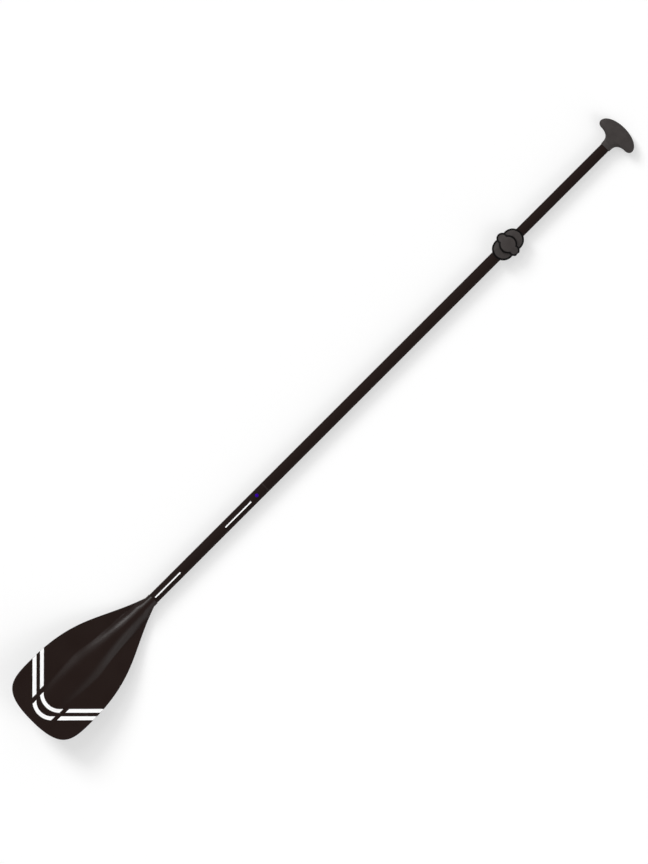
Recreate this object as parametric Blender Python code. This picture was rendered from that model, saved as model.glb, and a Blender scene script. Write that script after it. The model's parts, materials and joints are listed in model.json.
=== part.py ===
# Stand-up paddleboard paddle, lying flat with the front of its blade upwards.
# The shaft runs along X, blade towards -X and handle towards +X. Z = 0 is the surface it lies on.

import bpy
import bmesh
from math import asin, atan2, cos, pi, radians, sin, sqrt
from mathutils import Vector
from mathutils.geometry import interpolate_bezier

# Clearance between pieces that touch, and the sides of turned pieces
GAP = 0.0003
FACETS = 40
SMALL_FACETS = 24

# Lengths along the shaft
BLADE_REACH = 0.430            # tip to the mouth of the neck, seen from above
LOWER_SHOWN = 0.397            # neck mouth to the seam
MIDDLE_SHOWN = 0.860           # seam to the middle of the clamp
UPPER_SHOWN = 0.344            # middle of the clamp to the grip
GRIP_LENGTH = 0.0692

# Shaft tubes
SHAFT_RADIUS = 0.014
SHAFT_WALL = 0.001
UPPER_WALL = 0.001
UPPER_HIDDEN = 0.247           # upper tube below the middle of the clamp
TUBE_PAST_CLAMP = 0.025        # middle tube above the middle of the clamp
TUBE_SLOT_LENGTH = 0.045
TUBE_SLOT_WIDTH = 0.002

# Blade
BLADE_HALF_WIDTH = 0.109
WIDEST_FROM_TIP = 0.110
TIP_FULLNESS = 0.109           # handles of the outline's curves
TIP_SHOULDER = 0.0717
LEADING_SHOULDER = 0.155
NECK_EASE = 0.119
NECK_SLOPE = radians(18.7)
BLADE_LEAN = radians(10)       # the tip leans forwards, towards the front of the blade
BEND_LENGTH = 0.060
SOCKET_DEPTH = 0.062
SOCKET_LAND = 0.003            # straight blade behind the end of the socket
NECK_WALL = 0.0012
NECK_COLLAR = 0.012            # round collar at the mouth
NECK_FADE = 0.020              # length over which the collar fades into the neck
RIM_HALF_THICKNESS = 0.0014
SPINE_HALF_WIDTH = 0.0432
SPINE_TIP_HALF_WIDTH = 0.021
SPINE_WIDEST_FROM_TIP = 0.190
SPINE_TAPER = 0.036            # handles of its curve towards the neck
SPINE_NECK_EASE = 0.150
SPINE_TIP_SLOPE = radians(13.3)
SPINE_NECK_SLOPE = radians(3)
SPINE_NECK_WALL = 0.0102       # the spine's side wall round the socket
SHOULDER_POWER = 3             # shape of the spine's soft shoulders
SHOULDER_SOFTNESS = 1.65
NECK_POWER = 2.1               # and of the broad neck round the socket
NECK_SOFTNESS = 1
RIM_SHARE = 0.07               # least share of the half-width that stays outside the spine
FRONT_SPINE_FALL = 0.8         # how fast the spine's height falls towards the tip
BACK_SPINE_FALL = 2.3
FLANK_SOFTENING = 0.240        # length over which the broad neck turns into soft shoulders

# Take-down joint
FERRULE_WALL = 0.0015
FERRULE_IN_LOWER = 0.082
FERRULE_IN_MIDDLE = 0.078
RING_WIDTH = 0.003
RING_PROUD = 0.0003
PLUG_FLANGE = 0.002
PLUG_LENGTH = 0.012
BUTTON_FROM_SEAM = 0.030
BUTTON_RADIUS = 0.0044
BUTTON_FLANGE_WIDTH = 0.0016
BUTTON_FLANGE = 0.001
BUTTON_PROUD = 0.0022
BUTTON_TOP_LAND = 0.0022       # flat middle of the domed head
SPRING_THICKNESS = 0.0008
SPRING_HALF_WIDTH = 0.004
SPRING_LENGTH = 0.044
SPRING_BEND = 0.003
SPRING_TAIL = 0.012

# Foam seals
SEAL_LENGTH = 0.035
SEAL_SPACING = 0.004           # seal to the piece before it

# Guide bush
BUSH_RIM = 0.004
BUSH_SPIGOT = 0.020
BUSH_WALL = 0.004

# Clamp collar: two round lobes along the shaft under a crowned top
LOBE_RADIUS = 0.0278
LOBE_OFFSET = 0.0163
COLLAR_BASE = 0.0175           # shaft axis to the flat base
BASE_HALF_WIDTH = 0.017
LOWER_CORNER = 0.0105
COLLAR_END_DROP = 0.0045       # how far the crown falls at both ends
MOUTH_BUSH_INSET = 0.005
BUSH_SLIT = 0.002
SLIT_DROP = 0.006              # shaft axis to the middle of the slit
SLIT_WIDTH = 0.0024
SLIT_BEHIND = 0.022            # slit behind the middle of the clamp
LUG_DEPTH = 0.015              # shaft axis to the underside of the lower lug
LUG_INSET = 0.0008             # lugs inside the outline of the lever's ear
RECESS_DEPTH = 0.003
SCREW_RADIUS = 0.002
SCREW_PLACES = (0.030, 0.020)  # behind the middle of the clamp
SCREW_INSET = 0.0003
SOCKET_KEY = 0.0011            # half-width of a hexagon socket in a grub screw

# Clamp lever: a disc with an ear on each side, bent round the collar
DISC_RADIUS = 0.0225
EAR_RADIUS = 0.0136
EAR_OFFSET = 0.0211
LEVER_TOP = 0.027              # shaft axis to the top of the lever
LEVER_ARC = 0.045
LEVER_THICKNESS = 0.0045
LEVER_RELIEF = 0.0005          # lever to collar
LEVER_SWING = radians(90)
KNUCKLE_RADIUS = 0.0065
KNUCKLE_HALF_LENGTH = 0.010
RELIEF_MARGIN = 0.0006

# Draw bolt and what it pulls on
PIN_RADIUS = 0.004
PIN_HALF_LENGTH = 0.0078
PAD_THICKNESS = 0.0012
PAD_BACK = 0.0060              # pad behind the pin's axis
BOLT_RADIUS = 0.0025
BOLT_END_INSET = 0.0006
HEAD_RADIUS = 0.00425
HEAD_HEIGHT = 0.0032
HEAD_KEY = 0.0017
WASHER_RADIUS = 0.0048
WASHER_THICKNESS = 0.001

# T-grip
GRIP_HALF_WIDTH = 0.0560
GRIP_HALF_DEPTH = 0.0165
GRIP_CROWN = 0.0291            # length of the domed palm end
GRIP_STEP = 0.0015             # stem prouder than the tube
GRIP_SPIGOT = 0.045
STEM_LENGTH = 0.010
STEM_FLARE = 0.0006
STEM_SLOPE = radians(5)
ARM_ROOT = 0.0289              # underside of the arms, from the tube's end
ARM_ROOT_HALF_WIDTH = 0.043
ARM_SLOPE = radians(90)
ARM_FILLET = 0.0256            # handle of the curve between the stem and the arm
ARM_SHOULDER = 0.0072          # handle of the curve up to the widest place
PALM_SQUARENESS = 2.6
GRIP_SIDES = 36

# Bezier handle that makes a quarter of an ellipse
QUARTER_HANDLE = 0.5523

# Values that follow from those above
SHAFT_BORE = SHAFT_RADIUS - SHAFT_WALL
UPPER_RADIUS = SHAFT_BORE - GAP
UPPER_BORE = UPPER_RADIUS - UPPER_WALL
FERRULE_RADIUS = SHAFT_BORE - GAP
FERRULE_BORE = FERRULE_RADIUS - FERRULE_WALL
NECK_RADIUS = SHAFT_RADIUS + GAP + NECK_WALL
AXIS_HEIGHT = max(COLLAR_BASE, GRIP_HALF_DEPTH, NECK_RADIUS)
X_TIP = -(BLADE_REACH + LOWER_SHOWN + MIDDLE_SHOWN + UPPER_SHOWN + GRIP_LENGTH) / 2
X_NECK = X_TIP + BLADE_REACH
X_SEAM = X_NECK + LOWER_SHOWN
X_CLAMP = X_SEAM + MIDDLE_SHOWN
X_GRIP = X_CLAMP + UPPER_SHOWN
X_BUTTON = X_SEAM - BUTTON_FROM_SEAM
X_UPPER_END = X_CLAMP - UPPER_HIDDEN
X_TUBE_TOP = X_CLAMP + TUBE_PAST_CLAMP

ARC_CENTRE = LEVER_TOP - LEVER_ARC
PIN_Y = -(EAR_OFFSET + EAR_RADIUS - KNUCKLE_RADIUS)
PIN_ANGLE = asin(-PIN_Y / (LEVER_ARC - KNUCKLE_RADIUS))
PIN_Z = ARC_CENTRE + (LEVER_ARC - KNUCKLE_RADIUS) * cos(PIN_ANGLE)
PAD_TOP = PIN_Z - KNUCKLE_RADIUS - GAP
LUG_TOP = PAD_TOP - PAD_THICKNESS - GAP
RECESS_FLOOR = RECESS_DEPTH - LUG_DEPTH
CROWN_RADIUS = LEVER_ARC - LEVER_THICKNESS - LEVER_RELIEF
FLANGE_TOP = sqrt(FERRULE_BORE ** 2 - (BUTTON_RADIUS + BUTTON_FLANGE_WIDTH) ** 2) - GAP


def clear_scene():
    for old in list(bpy.data.objects):
        bpy.data.objects.remove(old, do_unlink=True)


def make_material(name, colour, roughness, metallic=0.0):
    material = bpy.data.materials.new(name)
    material.use_nodes = True
    shader = material.node_tree.nodes["Principled BSDF"]
    shader.inputs["Base Color"].default_value = (*colour, 1)
    shader.inputs["Roughness"].default_value = roughness
    shader.inputs["Metallic"].default_value = metallic
    return material


def add_piece(name, shape, material=None, place=(0, 0, 0), sharp=radians(35)):
    # Turns a bmesh into a named object; place is measured from the shaft's axis at X = 0.
    bmesh.ops.remove_doubles(shape, verts=shape.verts, dist=1e-6)
    bmesh.ops.recalc_face_normals(shape, faces=shape.faces)
    mesh = bpy.data.meshes.new(name)
    shape.to_mesh(mesh)
    shape.free()
    mesh.shade_smooth()
    mesh.set_sharp_from_angle(angle=sharp)
    piece = bpy.data.objects.new(name, mesh)
    piece.location = Vector(place) + Vector((0, 0, AXIS_HEIGHT))
    if material:
        mesh.materials.append(material)
    bpy.context.scene.collection.objects.link(piece)
    return piece


def combine(piece, *tools, operation="DIFFERENCE"):
    # The tools shape the piece together, in one Boolean, and are hidden themselves.
    group = bpy.data.collections.new(f"{piece.name}_{operation.lower()}")
    for tool in tools:
        tool.hide_render = True
        tool.display_type = "WIRE"
        group.objects.link(tool)
    boolean = piece.modifiers.new(group.name, "BOOLEAN")
    boolean.operation = operation
    boolean.solver = "EXACT"
    boolean.operand_type = "COLLECTION"
    boolean.collection = group
    return piece


def turned(profile, along="X", closed=False, facets=FACETS):
    # Spins (distance along the axis, radius) points round the X or the Z axis.
    shape = bmesh.new()
    if along == "X":
        places = [Vector((station, 0, radius)) for station, radius in profile]
        axis = Vector((1, 0, 0))
    else:
        places = [Vector((radius, 0, station)) for station, radius in profile]
        axis = Vector((0, 0, 1))
    verts = [shape.verts.new(place) for place in places]
    edges = [shape.edges.new(pair) for pair in zip(verts, verts[1:])]
    if closed:
        edges.append(shape.edges.new((verts[-1], verts[0])))
    bmesh.ops.spin(shape, geom=verts + edges, axis=axis, cent=(0, 0, 0),
                   angle=2 * pi, steps=facets, use_merge=True)
    return shape


def tube(start, end, inner, outer, facets=FACETS):
    corners = [(start, inner), (end, inner), (end, outer), (start, outer)]
    return turned(corners, closed=True, facets=facets)


def rod(start, end, radius, along="X", facets=FACETS):
    corners = [(start, 0), (start, radius), (end, radius), (end, 0)]
    return turned(corners, along=along, facets=facets)


def prism(outline, axis, low, high):
    # Extrudes a closed outline along one axis. Its two numbers are the other two axes in order.
    shape = bmesh.new()
    verts = []
    for first, second in outline:
        place = [first, second]
        place.insert("XYZ".index(axis), low)
        verts.append(shape.verts.new(place))
    face = shape.faces.new(verts)
    grown = bmesh.ops.extrude_face_region(shape, geom=[face])
    shift = Vector([high - low if letter == axis else 0 for letter in "XYZ"])
    moved = [item for item in grown["geom"] if isinstance(item, bmesh.types.BMVert)]
    bmesh.ops.translate(shape, verts=moved, vec=shift)
    return shape


def block(low, high):
    corners = [(low[0], low[1]), (high[0], low[1]), (high[0], high[1]), (low[0], high[1])]
    return prism(corners, "Z", low[2], high[2])


def arc(centre, radius, start, end, steps):
    # Points along a circle; radius may be a pair of half-axes.
    across, up = radius if isinstance(radius, tuple) else (radius, radius)
    turns = [start + (end - start) * step / steps for step in range(steps + 1)]
    return [(centre[0] + across * cos(turn), centre[1] + up * sin(turn)) for turn in turns]


def knot(place, slope, before=0, after=0):
    # A point of a curve, with its handles at a distance before and after it along the slope.
    run = Vector((cos(slope), sin(slope)))
    middle = Vector(place)
    return middle, middle - run * before, middle + run * after


def bezier_chain(knots, steps):
    points = []
    for (start, _, leave), (end, arrive, _) in zip(knots, knots[1:]):
        flat = [Vector((*place, 0)) for place in (start, leave, arrive, end)]
        points += [(p.x, p.y) for p in interpolate_bezier(*flat, steps)][:-1]
    return points + [tuple(knots[-1][0])]


def value_at(curve, station):
    # Height of an increasing curve at a station, by straight runs between its points.
    for (x0, y0), (x1, y1) in zip(curve, curve[1:]):
        if station <= x1:
            return y0 + (y1 - y0) * (station - x0) / max(x1 - x0, 1e-9)
    return curve[-1][1]


def smooth_step(low, high, value):
    share = min(max((value - low) / (high - low), 0), 1)
    return share * share * (3 - 2 * share)


def loft(rings, close_start=True, close_end=True):
    # Skins a list of rings, each a list of places; a ring of one place is a pole.
    shape = bmesh.new()
    skins = [[shape.verts.new(place) for place in ring] for ring in rings]
    for this, following in zip(skins, skins[1:]):
        count = max(len(this), len(following))
        for step in range(count):
            nearby = (step + 1) % count
            if len(this) == 1:
                shape.faces.new((this[0], following[nearby], following[step]))
            elif len(following) == 1:
                shape.faces.new((this[step], this[nearby], following[0]))
            else:
                shape.faces.new((this[step], this[nearby], following[nearby], following[step]))
    if close_start and len(skins[0]) > 1:
        shape.faces.new(skins[0])
    if close_end and len(skins[-1]) > 1:
        shape.faces.new(skins[-1])
    return shape


def blade_true_length():
    # The blade leans, so it is a little longer than it looks from above.
    bend = BEND_LENGTH / BLADE_LEAN
    straight_neck = SOCKET_DEPTH + SOCKET_LAND
    straight_blade = (BLADE_REACH - straight_neck - bend * sin(BLADE_LEAN)) / cos(BLADE_LEAN)
    return straight_neck + BEND_LENGTH + straight_blade


def place_on_blade(from_neck, across, up):
    # A point of the blade, given along its bent middle line, across it and square to it.
    bend = BEND_LENGTH / BLADE_LEAN
    past_neck = from_neck - SOCKET_DEPTH - SOCKET_LAND
    angle = min(max(past_neck / bend, 0), BLADE_LEAN)
    before = min(from_neck, SOCKET_DEPTH + SOCKET_LAND)
    after = max(past_neck - BEND_LENGTH, 0)
    x = -before - bend * sin(angle) - after * cos(angle)
    z = bend * (1 - cos(angle)) + after * sin(angle)
    return Vector((x + up * sin(angle), across, z + up * cos(angle)))


def blade_outline(length):
    # Half the outline, as (distance from the tip, half-width).
    neck = length - NECK_COLLAR
    knots = [
        knot((0, 0), pi / 2, after=TIP_FULLNESS),
        knot((WIDEST_FROM_TIP, BLADE_HALF_WIDTH), 0, TIP_SHOULDER, LEADING_SHOULDER),
        knot((neck, NECK_RADIUS), -NECK_SLOPE, NECK_EASE),
    ]
    return bezier_chain(knots, 18) + [(length, NECK_RADIUS)]


def spine_outline(length):
    # Half the outline of the raised spine.
    socket_end = length - SOCKET_DEPTH - SOCKET_LAND
    neck_half_width = SHAFT_RADIUS + GAP + SPINE_NECK_WALL
    before = SPINE_WIDEST_FROM_TIP / 3
    knots = [
        knot((0, SPINE_TIP_HALF_WIDTH), SPINE_TIP_SLOPE, after=before),
        knot((SPINE_WIDEST_FROM_TIP, SPINE_HALF_WIDTH), 0, before, SPINE_TAPER),
        knot((socket_end, neck_half_width), -SPINE_NECK_SLOPE, SPINE_NECK_EASE),
    ]
    return bezier_chain(knots, 12) + [(length, neck_half_width)]


def blade_half_section(station, length, half_width, spine, fall):
    # Heights over the middle line from the centre to the rim, as (across, up).
    socket_end = length - SOCKET_DEPTH - SOCKET_LAND
    tip_round = 1 - (1 - min(station / RIM_HALF_THICKNESS, 1)) ** 2
    rim = RIM_HALF_THICKNESS * sqrt(tip_round)
    height = max(NECK_RADIUS * min(station / socket_end, 1) ** fall, rim)
    roundness = smooth_step(socket_end - FLANK_SOFTENING, socket_end, station)
    power = SHOULDER_POWER + (NECK_POWER - SHOULDER_POWER) * roundness
    softness = SHOULDER_SOFTNESS + (NECK_SOFTNESS - SHOULDER_SOFTNESS) * roundness
    collar = smooth_step(length - NECK_COLLAR - NECK_FADE, length - NECK_COLLAR, station)
    points = []
    spine_steps, flange_steps = 8, 5
    for step in range(spine_steps + flange_steps + 1):
        if step <= spine_steps:
            across = spine * sin(pi / 2 * step / spine_steps)
        else:
            share = (step - spine_steps) / flange_steps
            across = spine + (half_width - spine) * sin(pi / 2 * share)
        bulge = max(1 - (across / spine) ** power, 0) ** softness
        edge = min((half_width - across) / RIM_HALF_THICKNESS, 1)
        up = rim * sqrt(max(1 - (1 - edge) ** 2, 0)) + (height - rim) * bulge
        oval = height * sqrt(max(1 - (across / half_width) ** 2, 0))
        points.append((across, up + (oval - up) * collar))
    return points


def blade_ring(station, length, half_width, spine):
    front = blade_half_section(station, length, half_width, spine, FRONT_SPINE_FALL)
    back = blade_half_section(station, length, half_width, spine, BACK_SPINE_FALL)
    around = front[:-1] + [(y, -z) for y, z in reversed(back)]
    around += [(-y, -z) for y, z in back[1:-1]] + [(-y, z) for y, z in reversed(front[1:])]
    return [place_on_blade(length - station, y, z) for y, z in around]


def make_blade(material):
    length = blade_true_length()
    spine_curve = spine_outline(length)
    rings = [[place_on_blade(length, 0, 0)]]
    for station, half_width in blade_outline(length)[1:]:
        spine = min(value_at(spine_curve, station), half_width * (1 - RIM_SHARE))
        rings.append(blade_ring(station, length, half_width, spine))
    blade = add_piece("blade", loft(rings), material, (X_NECK, 0, 0), sharp=radians(50))
    socket = rod(-SOCKET_DEPTH - GAP, SOCKET_LAND, SHAFT_RADIUS + GAP)
    return combine(blade, add_piece("cut_socket", socket, place=(X_NECK, 0, 0)))


def make_lower_tube(material):
    end = X_SEAM - RING_WIDTH / 2 - GAP
    body = tube(X_NECK - SOCKET_DEPTH, end, SHAFT_BORE, SHAFT_RADIUS)
    lower_tube = add_piece("lower_tube", body, material)
    return combine(lower_tube, button_hole("cut_lower_button"))


def button_hole(name):
    top = SHAFT_RADIUS + BUTTON_PROUD
    hole = rod(FERRULE_BORE / 2, top, BUTTON_RADIUS + GAP, "Z", SMALL_FACETS)
    return add_piece(name, hole, place=(X_BUTTON, 0, 0))


def make_joint_ring(material):
    inner = FERRULE_RADIUS + GAP
    ring = tube(X_SEAM - RING_WIDTH / 2, X_SEAM + RING_WIDTH / 2, inner, SHAFT_RADIUS + RING_PROUD)
    return add_piece("joint_ring", ring, material)


def make_ferrule(material):
    body = tube(X_SEAM - FERRULE_IN_LOWER, X_SEAM + FERRULE_IN_MIDDLE, FERRULE_BORE, FERRULE_RADIUS)
    ferrule = add_piece("ferrule", body, material)
    return combine(ferrule, button_hole("cut_ferrule_button"))


def make_ferrule_plug(material):
    end = X_SEAM - FERRULE_IN_LOWER
    spigot = FERRULE_BORE - GAP
    profile = [(end - GAP - PLUG_FLANGE, 0), (end - GAP - PLUG_FLANGE, FERRULE_RADIUS),
               (end - GAP, FERRULE_RADIUS), (end - GAP, spigot),
               (end + PLUG_LENGTH, spigot), (end + PLUG_LENGTH, 0)]
    return add_piece("ferrule_plug", turned(profile), material)


def make_button(material):
    flange = BUTTON_RADIUS + BUTTON_FLANGE_WIDTH
    top = SHAFT_RADIUS + BUTTON_PROUD
    dome = arc((BUTTON_TOP_LAND, SHAFT_RADIUS), (BUTTON_RADIUS - BUTTON_TOP_LAND, BUTTON_PROUD),
               0, pi / 2, 5)
    profile = [(FLANGE_TOP - BUTTON_FLANGE, 0), (FLANGE_TOP - BUTTON_FLANGE, flange),
               (FLANGE_TOP, flange), (FLANGE_TOP, BUTTON_RADIUS)]
    profile += [(height, radius) for radius, height in dome] + [(top, 0)]
    button = turned(profile, along="Z", facets=SMALL_FACETS)
    return add_piece("snap_button", button, material, (X_BUTTON, 0, 0))


def make_button_spring(material):
    # One strip folded into a V: a leg on the ferrule's floor, a bend, and a leg under the button.
    half = SPRING_THICKNESS / 2
    floor = -sqrt(FERRULE_BORE ** 2 - SPRING_HALF_WIDTH ** 2) + GAP + half
    seat = FLANGE_TOP - BUTTON_FLANGE - GAP - half
    bend_x = SPRING_LENGTH - SPRING_BEND
    rise = atan2(seat - floor - 2 * SPRING_BEND, bend_x - 2 * BUTTON_RADIUS)
    bend = arc((bend_x, floor + SPRING_BEND), SPRING_BEND, -pi / 2, pi / 2 - rise, 8)
    shoulder = BUTTON_RADIUS + BUTTON_FLANGE_WIDTH
    path = [(-SPRING_TAIL, floor)] + bend + [(shoulder, seat), (-shoulder, seat)]
    sides = []
    for side in (half, -half):
        line = []
        for step, (x, z) in enumerate(path):
            before = path[max(step - 1, 0)]
            after = path[min(step + 1, len(path) - 1)]
            run = Vector((after[0] - before[0], after[1] - before[1])).normalized()
            line.append((x + run.y * side, z - run.x * side))
        sides.append(line)
    strip = prism(sides[0] + sides[1][::-1], "Y", -SPRING_HALF_WIDTH, SPRING_HALF_WIDTH)
    return add_piece("button_spring", strip, material, (X_BUTTON, 0, 0))


def make_seal(name, start, bore, material):
    return add_piece(name, rod(start, start + SEAL_LENGTH, bore - GAP), material)


def make_middle_tube(material):
    start = X_SEAM + RING_WIDTH / 2 + GAP
    middle_tube = add_piece("middle_tube", tube(start, X_TUBE_TOP, SHAFT_BORE, SHAFT_RADIUS), material)
    reach = SHAFT_RADIUS + GAP
    slots = block((X_TUBE_TOP - TUBE_SLOT_LENGTH, -reach, -TUBE_SLOT_WIDTH / 2),
                  (X_TUBE_TOP + GAP, reach, TUBE_SLOT_WIDTH / 2))
    return combine(middle_tube, add_piece("cut_tube_slots", slots), *screw_holes("cut_tube_screw"))


def screw_holes(name):
    holes = []
    for number, behind in enumerate(SCREW_PLACES):
        hole = rod(-COLLAR_BASE - GAP, -SHAFT_BORE / 2, SCREW_RADIUS + GAP, "Z", SMALL_FACETS)
        holes.append(add_piece(f"{name}_{number}", hole, place=(X_CLAMP - behind, 0, 0)))
    return holes


def hexagon(half_width):
    return arc((0, 0), half_width * 2 / sqrt(3), 0, 2 * pi, 6)[:-1]


def make_collar_screws(material):
    low, high = -COLLAR_BASE + SCREW_INSET, -SHAFT_BORE - GAP / 2
    for number, behind in enumerate(SCREW_PLACES, 1):
        place = (X_CLAMP - behind, 0, 0)
        body = rod(low, high, SCREW_RADIUS, "Z", SMALL_FACETS)
        key = prism(hexagon(SOCKET_KEY), "Z", -COLLAR_BASE - GAP, -COLLAR_BASE + SCREW_RADIUS)
        screw = add_piece(f"collar_screw_{number}", body, material, place)
        combine(screw, add_piece(f"cut_key_{number}", key, place=place))


def lobes_outline():
    # Two overlapping discs along the shaft, which meet in a waist.
    corner = atan2(sqrt(LOBE_RADIUS ** 2 - LOBE_OFFSET ** 2), -LOBE_OFFSET)
    right = arc((LOBE_OFFSET, 0), LOBE_RADIUS, -corner, corner, 33)
    left = arc((-LOBE_OFFSET, 0), LOBE_RADIUS, pi - corner, pi + corner, 33)
    return right[:-1] + left[:-1]


def lever_outline():
    # A disc with an ear on each side.
    meet = (DISC_RADIUS ** 2 - EAR_RADIUS ** 2 + EAR_OFFSET ** 2) / (2 * EAR_OFFSET)
    beside = sqrt(DISC_RADIUS ** 2 - meet ** 2)
    on_disc = atan2(meet, beside)
    on_ear = atan2(meet - EAR_OFFSET, beside)
    outline = arc((0, 0), DISC_RADIUS, -on_disc, on_disc, 12)[:-1]
    outline += arc((0, EAR_OFFSET), EAR_RADIUS, on_ear, pi - on_ear, 14)[:-1]
    outline += arc((0, 0), DISC_RADIUS, pi - on_disc, pi + on_disc, 12)[:-1]
    outline += arc((0, -EAR_OFFSET), EAR_RADIUS, pi + on_ear, 2 * pi - on_ear, 14)[:-1]
    return outline


def collar_front_profile():
    # Crowned top, straight sides and rounded lower corners, across the shaft.
    side = LOBE_RADIUS + 2 * GAP
    lean = asin(side / CROWN_RADIUS)
    crown = arc((0, ARC_CENTRE), CROWN_RADIUS, pi / 2 - lean, pi / 2 + lean, 16)
    corner = (side - BASE_HALF_WIDTH, LOWER_CORNER)
    centre_y, centre_z = BASE_HALF_WIDTH, LOWER_CORNER - COLLAR_BASE
    left = arc((-centre_y, centre_z), corner, pi, 3 * pi / 2, 6)
    right = arc((centre_y, centre_z), corner, -pi / 2, 0, 6)
    return crown + left + right


def collar_side_profile():
    # The crown falls towards both ends.
    reach = LOBE_OFFSET + LOBE_RADIUS + 2 * GAP
    top = ARC_CENTRE + CROWN_RADIUS
    radius = (reach ** 2 + COLLAR_END_DROP ** 2) / (2 * COLLAR_END_DROP)
    lean = asin(reach / radius)
    crown = arc((0, top - radius), radius, pi / 2 - lean, pi / 2 + lean, 14)
    base = -COLLAR_BASE - GAP
    return crown + [(-reach, base), (reach, base)]


def make_collar(material):
    here = (X_CLAMP, 0, 0)
    tall = LEVER_TOP + COLLAR_BASE
    reach = LOBE_OFFSET + LOBE_RADIUS
    collar = add_piece("clamp_collar", prism(lobes_outline(), "Z", -tall, tall), material, here)
    front = prism(collar_front_profile(), "X", -2 * reach, 2 * reach)
    side = prism(collar_side_profile(), "Y", -2 * LOBE_RADIUS, 2 * LOBE_RADIUS)
    combine(collar, add_piece("shape_front", front, place=here), operation="INTERSECT")
    combine(collar, add_piece("shape_side", side, place=here), operation="INTERSECT")
    lugs = rod(-LUG_DEPTH, PIN_Z, EAR_RADIUS - LUG_INSET, "Z")
    lugs = add_piece("shape_lugs", lugs, place=(X_CLAMP, -EAR_OFFSET, 0))
    combine(collar, lugs, operation="UNION")
    back = asin((PIN_Y + KNUCKLE_RADIUS + RELIEF_MARGIN + EAR_OFFSET) / EAR_RADIUS)
    relief = prism(arc((0, 0), EAR_RADIUS, pi - back, 2 * pi + back, 20), "Z", LUG_TOP, tall)
    bore = rod(-2 * reach, 2 * reach, SHAFT_RADIUS + GAP)
    slit = block((-SLIT_BEHIND, -2 * LOBE_RADIUS, -SLIT_DROP - SLIT_WIDTH / 2),
                 (2 * reach, -SHAFT_RADIUS / 2, -SLIT_DROP + SLIT_WIDTH / 2))
    bolt = rod(-2 * LUG_DEPTH, LUG_TOP + GAP, BOLT_RADIUS + GAP, "Z", SMALL_FACETS)
    recess = rod(-2 * LUG_DEPTH, RECESS_FLOOR, WASHER_RADIUS + GAP, "Z", SMALL_FACETS)
    return combine(collar, add_piece("cut_knuckle", relief, place=(X_CLAMP, -EAR_OFFSET, 0)),
                   add_piece("cut_bore", bore, place=here),
                   add_piece("cut_slit", slit, place=here),
                   add_piece("cut_bolt", bolt, place=(X_CLAMP, PIN_Y, 0)),
                   add_piece("cut_recess", recess, place=(X_CLAMP, PIN_Y, 0)),
                   *screw_holes("cut_collar_screw"))


def make_mouth_bush(material):
    start = X_TUBE_TOP + GAP
    end = X_CLAMP + LOBE_OFFSET + LOBE_RADIUS - MOUTH_BUSH_INSET
    bush = add_piece("mouth_bush", tube(start, end, UPPER_RADIUS + GAP, SHAFT_RADIUS), material)
    slit = block((start - GAP, -2 * SHAFT_RADIUS, -SLIT_DROP - BUSH_SLIT / 2),
                 (end + GAP, -SHAFT_RADIUS / 2, -SLIT_DROP + BUSH_SLIT / 2))
    return combine(bush, add_piece("cut_bush_slit", slit))


def lever_profile():
    # Across the shaft: a plate bent round the collar that runs into the round knuckle.
    past_end = EAR_OFFSET + EAR_RADIUS + 2 * GAP
    inner = LEVER_ARC - LEVER_THICKNESS
    centre = (0, ARC_CENTRE)
    outer_start = pi / 2 - asin(past_end / LEVER_ARC)
    inner_start = pi / 2 - asin(past_end / inner)
    radial = pi / 2 + PIN_ANGLE
    spread = LEVER_ARC - KNUCKLE_RADIUS
    beside = (inner ** 2 - spread ** 2 - KNUCKLE_RADIUS ** 2) / (2 * spread * KNUCKLE_RADIUS)
    last = 2 * pi - asin(sqrt(1 - beside ** 2))
    knuckle = arc((PIN_Y, PIN_Z), KNUCKLE_RADIUS, radial, radial + last, 22)
    meet = atan2(knuckle[-1][1] - ARC_CENTRE, knuckle[-1][0])
    outer = arc(centre, LEVER_ARC, outer_start, radial, 16)[:-1]
    return outer + knuckle + arc(centre, inner, meet, inner_start, 16)[1:]


def bolt_sweep():
    # The space that the bolt takes up inside the lever while the lever swings.
    half = BOLT_RADIUS + 1.5 * GAP
    reach = 2 * KNUCKLE_RADIUS
    start, end = -pi / 2, -pi / 2 - LEVER_SWING
    first = (PIN_Y + half, PIN_Z)
    last = (PIN_Y + half * cos(end - pi / 2), PIN_Z + half * sin(end - pi / 2))
    fan = arc((PIN_Y, PIN_Z), reach, start, end, 10)
    lead = (first[0], first[1] - reach)
    trail = (last[0] + reach * cos(end), last[1] + reach * sin(end))
    return [first, lead] + fan[1:-1] + [trail, last]


def make_lever(material):
    here = (X_CLAMP, 0, 0)
    tall = LEVER_TOP + COLLAR_BASE
    reach = 2 * DISC_RADIUS
    lever = add_piece("clamp_lever", prism(lever_outline(), "Z", -tall, tall), material, here)
    bent = prism(lever_profile(), "X", -reach, reach)
    combine(lever, add_piece("shape_lever", bent, place=here), operation="INTERSECT")
    # Beside the knuckle the ear is only as deep as the plate.
    side = EAR_RADIUS + GAP
    inner = LEVER_ARC - LEVER_THICKNESS
    under = arc((0, ARC_CENTRE), inner, pi / 2, pi, 16) + [(0, -tall)]
    half = BOLT_RADIUS + 1.5 * GAP
    left = prism(under, "X", -side, -KNUCKLE_HALF_LENGTH)
    right = prism(under, "X", KNUCKLE_HALF_LENGTH, side)
    hole = rod(-side, side, PIN_RADIUS + GAP, facets=SMALL_FACETS)
    return combine(lever, add_piece("cut_left", left, place=here),
                   add_piece("cut_right", right, place=here),
                   add_piece("cut_sweep", prism(bolt_sweep(), "X", -half, half), place=here),
                   add_piece("cut_pin", hole, place=(X_CLAMP, PIN_Y, PIN_Z)))


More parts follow.
